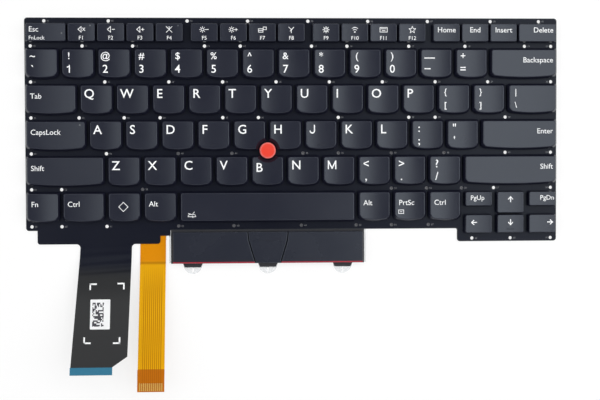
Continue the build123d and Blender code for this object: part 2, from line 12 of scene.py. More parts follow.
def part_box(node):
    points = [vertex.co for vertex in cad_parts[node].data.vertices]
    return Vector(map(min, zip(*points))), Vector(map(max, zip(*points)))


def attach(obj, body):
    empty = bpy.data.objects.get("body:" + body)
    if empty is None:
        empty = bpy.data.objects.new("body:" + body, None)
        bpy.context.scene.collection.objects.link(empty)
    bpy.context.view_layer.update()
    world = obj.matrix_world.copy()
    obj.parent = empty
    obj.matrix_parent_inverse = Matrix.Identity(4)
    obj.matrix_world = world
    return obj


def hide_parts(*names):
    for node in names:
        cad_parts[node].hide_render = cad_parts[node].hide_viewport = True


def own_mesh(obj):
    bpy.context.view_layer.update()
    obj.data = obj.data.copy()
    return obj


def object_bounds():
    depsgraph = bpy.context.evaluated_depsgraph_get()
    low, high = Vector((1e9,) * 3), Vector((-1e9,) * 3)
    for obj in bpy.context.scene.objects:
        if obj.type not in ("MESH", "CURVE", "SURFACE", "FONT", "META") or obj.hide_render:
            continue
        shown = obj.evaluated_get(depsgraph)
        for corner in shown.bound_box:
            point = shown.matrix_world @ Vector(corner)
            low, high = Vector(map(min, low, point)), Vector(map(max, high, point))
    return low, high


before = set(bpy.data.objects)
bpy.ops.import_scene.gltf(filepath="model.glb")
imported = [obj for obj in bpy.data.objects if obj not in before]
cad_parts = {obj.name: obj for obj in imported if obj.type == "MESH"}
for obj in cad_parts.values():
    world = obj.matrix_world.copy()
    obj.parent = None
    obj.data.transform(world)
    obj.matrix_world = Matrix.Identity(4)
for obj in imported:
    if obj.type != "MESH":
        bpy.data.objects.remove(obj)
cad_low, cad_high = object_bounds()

bl_info = {
    "name": "Laptop keyboard module",
    "version": (1, 0, 0),
    "blender": (4, 5, 0),
    "location": "View3D > Sidebar > Keyboard",
    "description": "Models and finishes the keycaps, prints, buttons and ribbons of a laptop keyboard",
    "category": "Object",
}

MM = 0.001

# Names of the keys that share a solid, in the order in which they stand
FUNCTION_ROW = [
    "escape", "f1", "f2", "f3", "f4", "f5", "f6", "f7", "f8", "f9", "f10", "f11", "f12",
    "home", "end", "insert", "delete",
]
CONTROL_ROWS = [
    ["backquote", "minus", "equal"],
    ["left_bracket", "right_bracket", "backslash"],
    ["semicolon", "quote"],
    ["comma", "period", "slash"],
    ["fn", "left_ctrl", "system", "left_alt", "right_alt", "print_screen", "right_ctrl",
     "page_up", "up", "page_down"],
    ["left", "down", "right"],
]
CURSOR_KEYS = {"page_up", "up", "page_down", "left", "down", "right"}
STICK_NEIGHBOURS = {"g", "h", "b"}

# Prints: pairs stand over each other, words stand by themselves
PAIRS = {
    "backquote": "~`", "1": "!1", "2": "@2", "3": "#3", "4": "$4", "5": "%5", "6": "^6", "7": "&7",
    "8": "*8", "9": "(9", "0": ")0", "equal": "+=",
}
SMALL_PAIRS = {
    "left_bracket": "{[", "right_bracket": "}]", "backslash": "|\\",
}
MIDDLE_PAIRS = {"semicolon": ":;", "quote": "\"'", "comma": "<,", "period": ">.", "slash": "?/"}
LEFT_WORDS = {
    "tab": "Tab", "caps_lock": "CapsLock", "left_shift": "Shift", "fn": "Fn", "left_ctrl": "Ctrl",
    "left_alt": "Alt", "right_alt": "Alt", "print_screen": "PrtSc", "right_ctrl": "Ctrl",
}
RIGHT_WORDS = {"backspace": "Backspace", "enter": "Enter", "right_shift": "Shift"}
MIDDLE_WORDS = {"home": "Home", "end": "End", "insert": "Insert"}

# Keys that stay put, by the solid they share
FIXED_KEYS = {
    "function_row_keys": FUNCTION_ROW,
    "control_keys": [name for row in CONTROL_ROWS for name in row],
}
BUTTONS = ("button_left", "button_middle", "button_right")

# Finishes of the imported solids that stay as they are
KEPT_NODES = {
    "backlight_sheet": "guide", "base_plate": "plate", "button_bracket": "clear",
    "button_frame": "frame", "button_middle": "button", "button_left": "striped_button",
    "button_right": "striped_button", "stick_sensor": "link", "ribbon_stiffener": "blue",
    "backlight_ribbon_stiffener": "brown",
}
FINISHES = {}

# Sockets of the colour mix node, which share their names with those for numbers
MIX_FIRST = 6
MIX_SECOND = 7
MIX_RESULT = 2

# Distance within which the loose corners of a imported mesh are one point
MERGE_REACH = 0.001 * MM

# A limit beyond the object, for masks that are open at one end
FAR = 1.0

# Cool cast of the sheen on the dark plastics, and depth of their grain
COOL = (0.84, 0.93, 1.0, 1)
GRAIN_DEPTH = 0.02 * MM

# Line along the front of the side buttons
STRIPE_START = 0.05 * MM
STRIPE_END = 0.7 * MM
STRIPE_SOFT = 0.12 * MM

# Homing bars and lamps: a lamp's place counts from the back right corner of its key's top
HOMING_KEYS = ("f", "j", "down")
HOMING_SIZE = (3.8 * MM, 0.7 * MM, 0.36 * MM)
HOMING_SETBACK = 1.9 * MM
HOMING_RISE = 0.08 * MM
HOMING_EDGE = 0.15 * MM
LAMPS = {
    "escape": (1.9 * MM, 5.2 * MM), "f1": (2.4 * MM, 1.2 * MM), "f4": (2.4 * MM, 1.2 * MM),
    "caps_lock": (2.4 * MM, 1.7 * MM),
}
LAMP_RADIUS = 0.4 * MM
LAMP_DEPTH = 0.06 * MM
LAMP_EDGE = 0.02 * MM

# Numbers beside the holes of the plate
WIDEST_HOLE = 2.5 * MM
HOLE_ROW = 2 * MM
NUMBER_HEIGHT = 0.9 * MM
NUMBER_STEP = 1.5 * MM
NUMBER_TURN = 6 * MM

# Domes and links: the solid each stands for and its finish, and shares of a dome's own sizes
SPRINGS = {"dome": ("rubber_domes", "rubber"), "links": ("scissor_links", "link")}
DOME_HEAD_SHARE = 0.29
DOME_RING = 0.35
DOME_SINK = 0.15
DOME_FOOT_ROUND = 0.12

# Pointing stick: insets and drops of its dished top, its socket, and the painted highlight on its rounded
# rim
STICK_EDGE = 0.9 * MM
STICK_DISH = [(0.5 * MM, 0.04 * MM), (0.9 * MM, 0.07 * MM), (1.0 * MM, 0.05 * MM)]
STICK_SOCKET_RADIUS = 1.75 * MM
STICK_SOCKET_DEPTH = 2.1 * MM
STICK_HIGHLIGHT_REACH = 3.2 * MM
STICK_HIGHLIGHT_SOFT = 0.7 * MM
STICK_GRAIN_DEPTH = 0.08 * MM

# Amber ribbon: its turn in degrees, its conductors, its fold and its stiff end
RIBBON_TURN = -0.75
RIBBON_STRIPS = 30
TRACE_PITCH = 1.05 * MM
TRACE_SHARE = (0.22, 0.6, 0.14)
TRACE_DEPTH = 0.03 * MM
TRACES_START = 1.6 * MM
TRACES_END = 12.4 * MM
TRACES_SOFT = 0.1 * MM
TRACES_FADE = 16 * MM
RIBBON_FOLD = -74.0 * MM
FOLD_WIDTH = 1.2 * MM
DEEP_START = 2 * MM
DEEP_SOFT = 4 * MM
STIFF_LENGTH = 11.5 * MM
STIFF_SOFT = 0.3 * MM
CONTACT_COUNT = 12
CONTACT_SIZE = (0.6 * MM, 4.0 * MM)
CONTACT_MARGIN = 1.3 * MM
CONTACT_INSET = 0.5 * MM
CONTACT_SINK = 0.02 * MM
CONTACT_DEPTH = 0.05 * MM

# Black film: the creases of its tail, and the gloss and painted reflection along the tail
FILM_ANGLE = 30
CREASE_BACK = -64.0 * MM
CREASE_FRONT = -83.0 * MM
CREASE_STRIPS = 36
CREASE_MARGIN = 2 * MM
CREASE_COLUMN = 2.4 * MM
CREASE_COLUMNS = 14
CREASE_HEIGHT = 0.16 * MM
CREASE_WAVES = 3.75
CREASE_SLANT = 11 * MM
TAIL_FADE = 10 * MM
GLOSS_START = -96.0 * MM
GLOSS_FADE = 12 * MM
GLOSS_STEP = 0.2

# Label on the tail, its field of blocks and the angles around it
LABEL_MIDDLE = (-102.9 * MM, -100.2 * MM, 0)
LABEL_SIZE = (10.4 * MM, 15.2 * MM)
LABEL_THICKNESS = 0.06 * MM
LABEL_CORNER = 0.4 * MM
LABEL_INK = (0.05, 0.05, 0.06, 1)
LABEL_BLOCK = (0.6 * MM, 0.75 * MM, 1)
LABEL_FIELD = {"X": (-4.1 * MM, 1.9 * MM), "Y": (-6.2 * MM, 6.0 * MM)}
LABEL_SOFT = 0.05 * MM
MARK_CORNERS = [
    ((-108.4 * MM, -84.7 * MM), (1, -1)), ((-90.7 * MM, -84.5 * MM), (-1, -1)),
    ((-110.9 * MM, -114.7 * MM), (1, 1)), ((-92.5 * MM, -114.8 * MM), (-1, 1)),
]
MARK_WIDTH = 3.0 * MM
MARK_HEIGHT = 2.6 * MM
MARK_STROKE = 0.8 * MM

# Dark sheet under the light guide, painted shade that the middle holes show in place of the shaded floor:
# its left, right, front and back edges
SHADE_SHEET_EDGES = (-88 * MM, 100 * MM, -56 * MM, -10 * MM)
SHADE_SHEET_THICKNESS = 0.012 * MM
SHADE_SHEET_CORNER = 3 * MM

# Stage: softboxes with their places and sizes, the backdrop's heights, the floor and the camera
SOFTBOXES = [
    ("right", (0.72, 0.05, 0.9), (1.0, 1.3)),
    ("left", (-0.78, 0.0, 0.9), (0.9, 1.2)),
    ("back", (0.0, 0.75, 1.05), (1.4, 0.7)),
    ("front", (0.0, -1.2, 0.8), (1.4, 0.6)),
]
LIGHT_TARGET = Vector((0, -20 * MM, 0))
BACKDROP_FULL = 0.12
BACKDROP_GONE = 0.3
FLOOR_COLOUR = (0.9, 0.9, 0.9, 1)
FLOOR_GAP = 0.02 * MM
SENSOR_WIDTH = 36
CAMERA_CLIP = (0.01, 50)


class KeycapSizes(bpy.types.PropertyGroup):
    """Form of the keycaps."""
    height: FloatProperty(
        name="Height", description="From the skirt's lower edge to the rim of the top",
        default=2.2 * MM, unit="LENGTH")
    flare: FloatProperty(
        name="Flare", description="How far the skirt of a full key stands out",
        default=1.0 * MM, unit="LENGTH")
    low_flare: FloatProperty(
        name="Low flare", description="How far the skirt of a low key stands out",
        default=0.4 * MM, unit="LENGTH")
    bow: FloatProperty(
        name="Bow", description="How far the front of a full key bows out",
        default=1.0 * MM, unit="LENGTH")
    front_corner: FloatProperty(
        name="Front corner", description="Radius of a full key's front corners",
        default=2.4 * MM, unit="LENGTH")
    back_corner: FloatProperty(
        name="Back corner", description="Radius of a full key's back corners",
        default=1.0 * MM, unit="LENGTH")
    low_corner: FloatProperty(
        name="Low corner", description="Radius of a low key's corners",
        default=0.8 * MM, unit="LENGTH")
    dish: FloatProperty(
        name="Dish", description="Depth of the dish across a full key",
        default=0.36 * MM, unit="LENGTH")
    low_dish: FloatProperty(
        name="Low dish", description="Depth of the dish across a low key",
        default=0.22 * MM, unit="LENGTH")
    edge: FloatProperty(
        name="Edge", description="Radius of the rim around the top",
        default=0.35 * MM, unit="LENGTH")
    wall: FloatProperty(
        name="Wall", description="Thickness of the skirt", default=1.0 * MM, unit="LENGTH")
    roof: FloatProperty(
        name="Roof", description="Thickness of the top", default=1.0 * MM, unit="LENGTH")
    columns: IntProperty(
        name="Columns", description="Strips that the dish is made of", default=10, min=2)
    notch_top: FloatProperty(
        name="Notch top", description="Radius of the cut beside the stick, at the key tops",
        default=6.8 * MM, unit="LENGTH")
    notch_bottom: FloatProperty(
        name="Notch bottom", description="Radius of the cut beside the stick, at the skirts",
        default=5.0 * MM, unit="LENGTH")


class PrintSizes(bpy.types.PropertyGroup):
    """Sizes and places of the prints on the keys."""
    letter: FloatProperty(
        name="Letter", description="Height of the capitals", default=4.6 * MM, unit="LENGTH")
    digit: FloatProperty(
        name="Digit", description="Height of the digits", default=4.1 * MM, unit="LENGTH")
    upper: FloatProperty(
        name="Upper sign", description="Height of the signs above the digits",
        default=3.5 * MM, unit="LENGTH")
    sign: FloatProperty(
        name="Sign", description="Height of the smaller signs", default=3.0 * MM, unit="LENGTH")
    word: FloatProperty(
        name="Word", description="Height of a word's capitals", default=2.7 * MM, unit="LENGTH")
    small_word: FloatProperty(
        name="Small word", description="Height of the smallest words", default=1.95 * MM, unit="LENGTH")
    page_word: FloatProperty(
        name="Page word", description="Height of the words on the paging keys",
        default=2.43 * MM, unit="LENGTH")
    icon: FloatProperty(
        name="Icon", description="Size of the pictograms", default=3.0 * MM, unit="LENGTH")
    stroke: FloatProperty(
        name="Stroke", description="Width of the pictograms' lines", default=0.3 * MM, unit="LENGTH")
    arrow_stroke: FloatProperty(
        name="Arrow stroke", description="Width of the arrows' lines", default=0.5 * MM, unit="LENGTH")
    bold: FloatProperty(
        name="Bold", description="How far the letters' outlines are widened, as a share of their size",
        default=0.007, min=0, max=0.1)
    word_bold: FloatProperty(
        name="Word bold", description="The same for words, which are finer",
        default=0.001, min=0, max=0.1)
    depth: FloatProperty(
        name="Depth", description="Thickness of the ink", default=0.05 * MM, unit="LENGTH")
    proud: FloatProperty(
        name="Proud", description="How far the ink stands over the plastic",
        default=0.025 * MM, unit="LENGTH")


class SpringSizes(bpy.types.PropertyGroup):
    """Sizes of the links, and of the domes under the keys that stay put."""
    dome_foot: FloatProperty(
        name="Dome foot", description="Radius of a dome's foot", default=2.6 * MM, unit="LENGTH")
    dome_head: FloatProperty(
        name="Dome head", description="Radius of a dome's head", default=1.5 * MM, unit="LENGTH")
    dome_height: FloatProperty(
        name="Dome height", description="From a dome's foot to its head",
        default=3.2 * MM, unit="LENGTH")
    link_bar: FloatProperty(
        name="Link bar", description="Width of a link's bars", default=1.0 * MM, unit="LENGTH")
    link_thickness: FloatProperty(
        name="Link thickness", description="Thickness of a link's bars",
        default=0.7 * MM, unit="LENGTH")
    link_step: FloatProperty(
        name="Link step", description="How far the inner link stands in from the outer at each side",
        default=1.3 * MM, unit="LENGTH")


class Colours(bpy.types.PropertyGroup):
    """Colours of the finishes."""
    key: FloatVectorProperty(
        name="Keys", description="Plastic of the keycaps", subtype="COLOR", size=4,
        default=(0.0078, 0.0086, 0.019, 1))
    button: FloatVectorProperty(
        name="Buttons", description="Plastic of the buttons", subtype="COLOR", size=4,
        default=(0.008, 0.0092, 0.019, 1))
    film: FloatVectorProperty(
        name="Film", description="Black film over the plate", subtype="COLOR", size=4,
        default=(0.0024, 0.003, 0.01, 1))
    # Painted reflection: the free tail is tinted lighter and greyer than the film, as where it catches
    # the light
    tail: FloatVectorProperty(
        name="Tail", description="End of the film, tinted lighter as a painted reflection", subtype="COLOR", size=4,
        default=(0.0075, 0.007, 0.0072, 1))
    plate: FloatVectorProperty(
        name="Plate", description="Coated sheet metal", subtype="COLOR", size=4,
        default=(0.011, 0.0115, 0.0135, 1))
    ink: FloatVectorProperty(
        name="Ink", description="White print", subtype="COLOR", size=4, default=(0.88, 0.89, 0.9, 1))
    stick: FloatVectorProperty(
        name="Stick", description="Red rubber of the pointing stick", subtype="COLOR", size=4,
        default=(0.75, 0.035, 0.012, 1))
    stripe: FloatVectorProperty(
        name="Stripe", description="Red line on the side buttons", subtype="COLOR", size=4,
        default=(0.34, 0.016, 0.03, 1))
    amber: FloatVectorProperty(
        name="Amber", description="Amber film of the backlight ribbon", subtype="COLOR", size=4,
        default=(0.66, 0.3, 0.002, 1))
    copper: FloatVectorProperty(
        name="Traces", description="Conductors in the amber film", subtype="COLOR", size=4,
        default=(0.4, 0.16, 0.001, 1))
    stiffener: FloatVectorProperty(
        name="Brown stiffener", description="Stiff end of the amber ribbon", subtype="COLOR", size=4,
        default=(0.46, 0.13, 0.003, 1))
    blue: FloatVectorProperty(
        name="Blue stiffener", description="Stiff end of the black tail", subtype="COLOR", size=4,
        default=(0.006, 0.14, 0.24, 1))
    clear: FloatVectorProperty(
        name="Clear sheet", description="Bracket under the buttons", subtype="COLOR", size=4,
        default=(0.8, 0.82, 0.84, 1))
    guide: FloatVectorProperty(
        name="Light guide", description="White sheet under the plate", subtype="COLOR", size=4,
        default=(0.8, 0.81, 0.8, 1))
    rubber: FloatVectorProperty(
        name="Domes", description="Pale rubber of the domes", subtype="COLOR", size=4,
        default=(0.5, 0.52, 0.53, 1))
    amber_pale: FloatVectorProperty(
        name="Pale amber", description="Lighter patches of the amber film", subtype="COLOR", size=4,
        default=(0.72, 0.38, 0.003, 1))
    amber_deep: FloatVectorProperty(
        name="Deep amber", description="Amber film over its fold", subtype="COLOR", size=4,
        default=(0.64, 0.23, 0.001, 1))
    contact: FloatVectorProperty(
        name="Contacts", description="Gilt contacts of the amber ribbon", subtype="COLOR", size=4,
        default=(0.62, 0.38, 0.1, 1))
    dim_ink: FloatVectorProperty(
        name="Dim ink", description="Small grey print on the film", subtype="COLOR", size=4,
        default=(0.16, 0.165, 0.18, 1))
    lamp: FloatVectorProperty(
        name="Lamps", description="Unlit lamps in the keys", subtype="COLOR", size=4,
        default=(0.07, 0.078, 0.09, 1))
    # Painted shade: grey of the sheet that the middle holes show, in place of the floor in the keyboard's
    # shadow
    backing: FloatVectorProperty(
        name="Painted shade", description="Dark sheet under the light guide, as painted shade", subtype="COLOR", size=4,
        default=(0.15, 0.15, 0.165, 1))
    link: FloatVectorProperty(
        name="Links", description="Plastic of the scissor links", subtype="COLOR", size=4,
        default=(0.05, 0.05, 0.055, 1))


class StageSettings(bpy.types.PropertyGroup):
    """Camera and light."""
    camera_place: FloatVectorProperty(
        name="Camera place", description="Where the camera stands", subtype="TRANSLATION", size=3,
        default=(-36.11 * MM, -17.21 * MM, 714.1 * MM))
    camera_turn: FloatVectorProperty(
        name="Camera turn", description="How the camera is turned", subtype="EULER", size=3,
        default=(math.radians(-1.881), math.radians(-3.17), math.radians(-0.208)))
    lens: FloatProperty(
        name="Lens", description="Focal length in millimetres", default=79.84, subtype="NONE")
    floor_size: FloatProperty(
        name="Floor size", description="Width of the floor", default=6.0, unit="LENGTH")
    floor_glow: FloatProperty(
        name="Floor glow", description="Share of the floor that is plain white to the eye",
        default=0.75, subtype="FACTOR")
    ambient: FloatProperty(
        name="Ambient", description="Level of the dim studio round the object",
        default=0.2, subtype="FACTOR")
    right_power: FloatProperty(
        name="Right softbox", description="Power of the softbox at the right", default=10.0, unit="POWER")
    left_power: FloatProperty(
        name="Left softbox", description="Power of the softbox at the left", default=6.0, unit="POWER")
    back_power: FloatProperty(
        name="Back softbox", description="Power of the softbox behind", default=4.0, unit="POWER")
    front_power: FloatProperty(
        name="Front softbox", description="Power of the softbox before", default=4.0, unit="POWER")


class KeyboardSettings(bpy.types.PropertyGroup):
    """All settings of the keyboard."""
    keycaps: PointerProperty(type=KeycapSizes, name="Keycaps", description="Form of the keycaps")
    prints: PointerProperty(type=PrintSizes, name="Prints", description="Prints on the keys")
    springs: PointerProperty(type=SpringSizes, name="Springs", description="Domes and links")
    colours: PointerProperty(type=Colours, name="Colours", description="Colours of the finishes")
    stage: PointerProperty(type=StageSettings, name="Stage", description="Camera and light")


def settings():
    """The keyboard's settings in the scene."""
    return bpy.context.scene.keyboard


# Reading the frame

Space = namedtuple("Space", "name body low high full")


def islands(node, keep=None):
    """Boxes of the separate pieces of a node's mesh, or of those of its faces that pass a test."""
    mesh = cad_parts[node].data
    parent = {}

    def root(key):
        while parent[key] != key:
            parent[key] = parent[parent[key]]
            key = parent[key]
        return key

    for face in mesh.polygons:
        if keep and not keep(face):
            continue
        keys = [tuple(round(c, 6) for c in mesh.vertices[i].co) for i in face.vertices]
        for key in keys:
            parent.setdefault(key, key)
        for key in keys[1:]:
            parent[root(key)] = root(keys[0])
    groups = {}
    for key in parent:
        groups.setdefault(root(key), []).append(key)
    boxes = []
    for points in groups.values():
        low = Vector([min(p[i] for p in points) for i in range(3)])
        high = Vector([max(p[i] for p in points) for i in range(3)])
        boxes.append((low, high))
    return boxes


def key_spaces():
    """Every key with the body it moves with and the corners of its solid."""
    spaces = []
    for node in sorted(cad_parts):
        if node.startswith("key_"):
            spaces.append(Space(node.removeprefix("key_"), node, *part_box(node), True))
    row = sorted(islands("function_row_keys"), key=lambda box: box[0].x)
    spaces += [Space(name, "root", *box, False) for name, box in zip(FUNCTION_ROW, row)]
    boxes = islands("control_keys")
    back = max(box[1].y for box in boxes)
    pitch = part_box("key_2")[0].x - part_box("key_1")[0].x
    for index, names in enumerate(CONTROL_ROWS):
        row = [box for box in boxes if round((back - box[1].y) / pitch) == index]
        row.sort(key=lambda box: box[0].x)
        spaces += [Space(name, "root", *box, name not in CURSOR_KEYS) for name, box in zip(names, row)]
    return spaces


def middle(low, high):
    """Middle of a box."""
    return (low + high) / 2


# Hand tools

def deselect():
    """Nothing selected, in object mode."""
    if bpy.context.object and bpy.context.object.mode != "OBJECT":
        bpy.ops.object.mode_set(mode="OBJECT")
    bpy.ops.object.select_all(action="DESELECT")


def only(piece):
    """One piece selected and active."""
    deselect()
    piece.select_set(True)
    bpy.context.view_layer.objects.active = piece


def named(name):
    """The active object under a new name."""
    piece = bpy.context.object
    piece.name = name
    piece.data.name = name
    return piece


def edit():
    """Edit mode."""
    bpy.ops.object.mode_set(mode="EDIT")


def leave():
    """Object mode."""
    bpy.ops.object.mode_set(mode="OBJECT")


def pick(piece, kind, test):
    """In edit mode, selects the vertices, edges or faces that pass a test."""
    bpy.context.tool_settings.mesh_select_mode = (kind == "verts", kind == "edges", kind == "faces")
    bpy.ops.mesh.select_all(action="DESELECT")
    mesh = bmesh.from_edit_mesh(piece.data)
    for element in getattr(mesh, kind):
        if test(element):
            element.select_set(True)
    mesh.select_flush_mode()
    bmesh.update_edit_mesh(piece.data)


def pick_all():
    """In edit mode, selects everything."""
    bpy.ops.mesh.select_all(action="SELECT")


def extrude(move):
    """In edit mode, extrudes the selected faces along a vector."""
    bpy.ops.mesh.extrude_region_move(TRANSFORM_OT_translate={"value": move})


def thickened(piece, depth):
    """Gives the flat faces of a piece a thickness, upwards."""
    only(piece)
    edit()
    pick_all()
    extrude((0, 0, depth))
    pick_all()
    bpy.ops.mesh.normals_make_consistent(inside=False)
    leave()


def cut_across(piece, axis, places):
    """Cuts the faces of a piece along planes across an axis."""
    normal = Vector()
    normal["XYZ".index(axis)] = 1
    only(piece)
    edit()
    for place in places:
        pick_all()
        bpy.ops.mesh.bisect(plane_co=normal * place, plane_no=normal)
    leave()


def shape(piece, change):
    """Moves every vertex of a piece to where a function puts it."""
    for vertex in piece.data.vertices:
        vertex.co = change(vertex.co)
    piece.data.update()


def apply_modifier(piece, kind, **values):
    """Adds a modifier to a piece and applies it."""
    only(piece)
    bpy.ops.object.modifier_add(type=kind)
    modifier = piece.modifiers[-1]
    for name, value in values.items():
        setattr(modifier, name, value)
    bpy.ops.object.modifier_apply(modifier=modifier.name)


def settle_place(piece):
    """Applies an object's place, turn and scale to its mesh."""
    only(piece)
    bpy.ops.object.transform_apply(location=True, rotation=True, scale=True)


def block(name, size, place):
    """Box about a place, to work on."""
    deselect()
    bpy.ops.mesh.primitive_cube_add(size=1, location=place)
    piece = named(name)
    piece.scale = size
    settle_place(piece)
    return piece


def sheet(name, width, depth, place=(0, 0, 0), turn=0.0):
    """Flat rectangle about a place, to work on."""
    deselect()
    bpy.ops.mesh.primitive_plane_add(size=1, location=place, rotation=(0, 0, turn))
    piece = named(name)
    piece.scale = (width, depth, 1)
    settle_place(piece)
    return piece


def smooth(piece, degrees=38):
    """Shades round stretches smooth and keeps flats flat."""
    only(piece)
    bpy.ops.object.shade_smooth_by_angle(angle=math.radians(degrees))
    apply_modifier(piece, "WEIGHTED_NORMAL", keep_sharp=True, weight=80)


def copy_of(piece, name, place):
    """A copy with its own mesh, moved to a place."""
    twin = piece.copy()
    twin.data = piece.data.copy()
    twin.name = name
    twin.data.name = name
    twin.data.transform(Matrix.Translation(place))
    bpy.context.scene.collection.objects.link(twin)
    return twin


def joined(pieces, name):
    """Several pieces made one."""
    deselect()
    for piece in pieces:
        piece.select_set(True)
    bpy.context.view_layer.objects.active = pieces[0]
    if len(pieces) > 1:
        bpy.ops.object.join()
    return named(name)


def thrown_away(piece):
    """Deletes a piece that was only needed to make others."""
    bpy.data.objects.remove(piece, do_unlink=True)


def finished(piece, body, material):
    """Gives a piece its material and its body."""
    piece.data.materials.clear()
    piece.data.materials.append(material)
    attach(piece, body)
    return piece


def height_on(piece, x, y):
    """Height of a piece's upper surface at a place."""
    hit, place = piece.ray_cast(Vector((x, y, 1)), Vector((0, 0, -1)))[:2]
    if not hit:
        raise RuntimeError(f"{piece.name} has no surface at {x:.4f}, {y:.4f}")
    return place.z


def laid_on(piece, carrier):
    """Lays a thin flat piece on the upper surface of another."""
    shape(piece, lambda p: Vector((p.x, p.y, height_on(carrier, p.x, p.y) + p.z)))
    return piece


def traced_copy(node, name):
    """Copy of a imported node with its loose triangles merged."""
    twin = copy_of(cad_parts[node], name, Vector())
    twin.parent = None
    for key in [key for key in twin.keys() if key.startswith("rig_")]:
        del twin[key]
    only(twin)
    edit()
    pick_all()
    bpy.ops.mesh.remove_doubles(threshold=MERGE_REACH)
    bpy.ops.mesh.tris_convert_to_quads()
    leave()
    return twin


# Shader groups

def new_group(name, inputs, outputs):
    """Empty shader group with float inputs and outputs."""
    group = bpy.data.node_groups.new(name, "ShaderNodeTree")
    for label, default in inputs:
        socket = group.interface.new_socket(label, in_out="INPUT", socket_type="NodeSocketFloat")
        socket.default_value = default
    for label in outputs:
        group.interface.new_socket(label, in_out="OUTPUT", socket_type="NodeSocketFloat")
    return group, group.nodes.new("NodeGroupInput"), group.nodes.new("NodeGroupOutput")


def grain_group():
    """Fine moulded grain and broad uneven tone."""
    group, entry, out = new_group(
        "grain_and_tone", [("Grain Scale", 2500), ("Tone Scale", 60)], ["Grain", "Tone"])
    place = group.nodes.new("ShaderNodeTexCoord")
    for label, scale, detail in [("Grain", "Grain Scale", 3), ("Tone", "Tone Scale", 5)]:
        noise = group.nodes.new("ShaderNodeTexNoise")
        noise.inputs["Detail"].default_value = detail
        group.links.new(place.outputs["Object"], noise.inputs["Vector"])
        group.links.new(entry.outputs[scale], noise.inputs["Scale"])
        group.links.new(noise.outputs["Fac"], out.inputs[label])
    return group


def band_group():
    """One where a value lies between two limits, with soft ends."""
    group, entry, out = new_group(
        "band_mask", [("Value", 0), ("Low", 0), ("High", 1), ("Soft", 0.0001)], ["Mask"])
    product = group.nodes.new("ShaderNodeMath")
    product.operation = "MULTIPLY"
    for index, (limit, low, high) in enumerate([("Low", 0, 1), ("High", 1, 0)]):
        end = group.nodes.new("ShaderNodeMath")
        end.operation = "ADD"
        group.links.new(entry.outputs[limit], end.inputs[0])
        group.links.new(entry.outputs["Soft"], end.inputs[1])
        ramp = group.nodes.new("ShaderNodeMapRange")
        ramp.interpolation_type = "SMOOTHSTEP"
        ramp.inputs["To Min"].default_value = low
        ramp.inputs["To Max"].default_value = high
        group.links.new(entry.outputs["Value"], ramp.inputs["Value"])
        group.links.new(entry.outputs[limit], ramp.inputs["From Min"])
        group.links.new(end.outputs[0], ramp.inputs["From Max"])
        group.links.new(ramp.outputs["Result"], product.inputs[index])
    group.links.new(product.outputs[0], out.inputs["Mask"])
    return group


# Materials

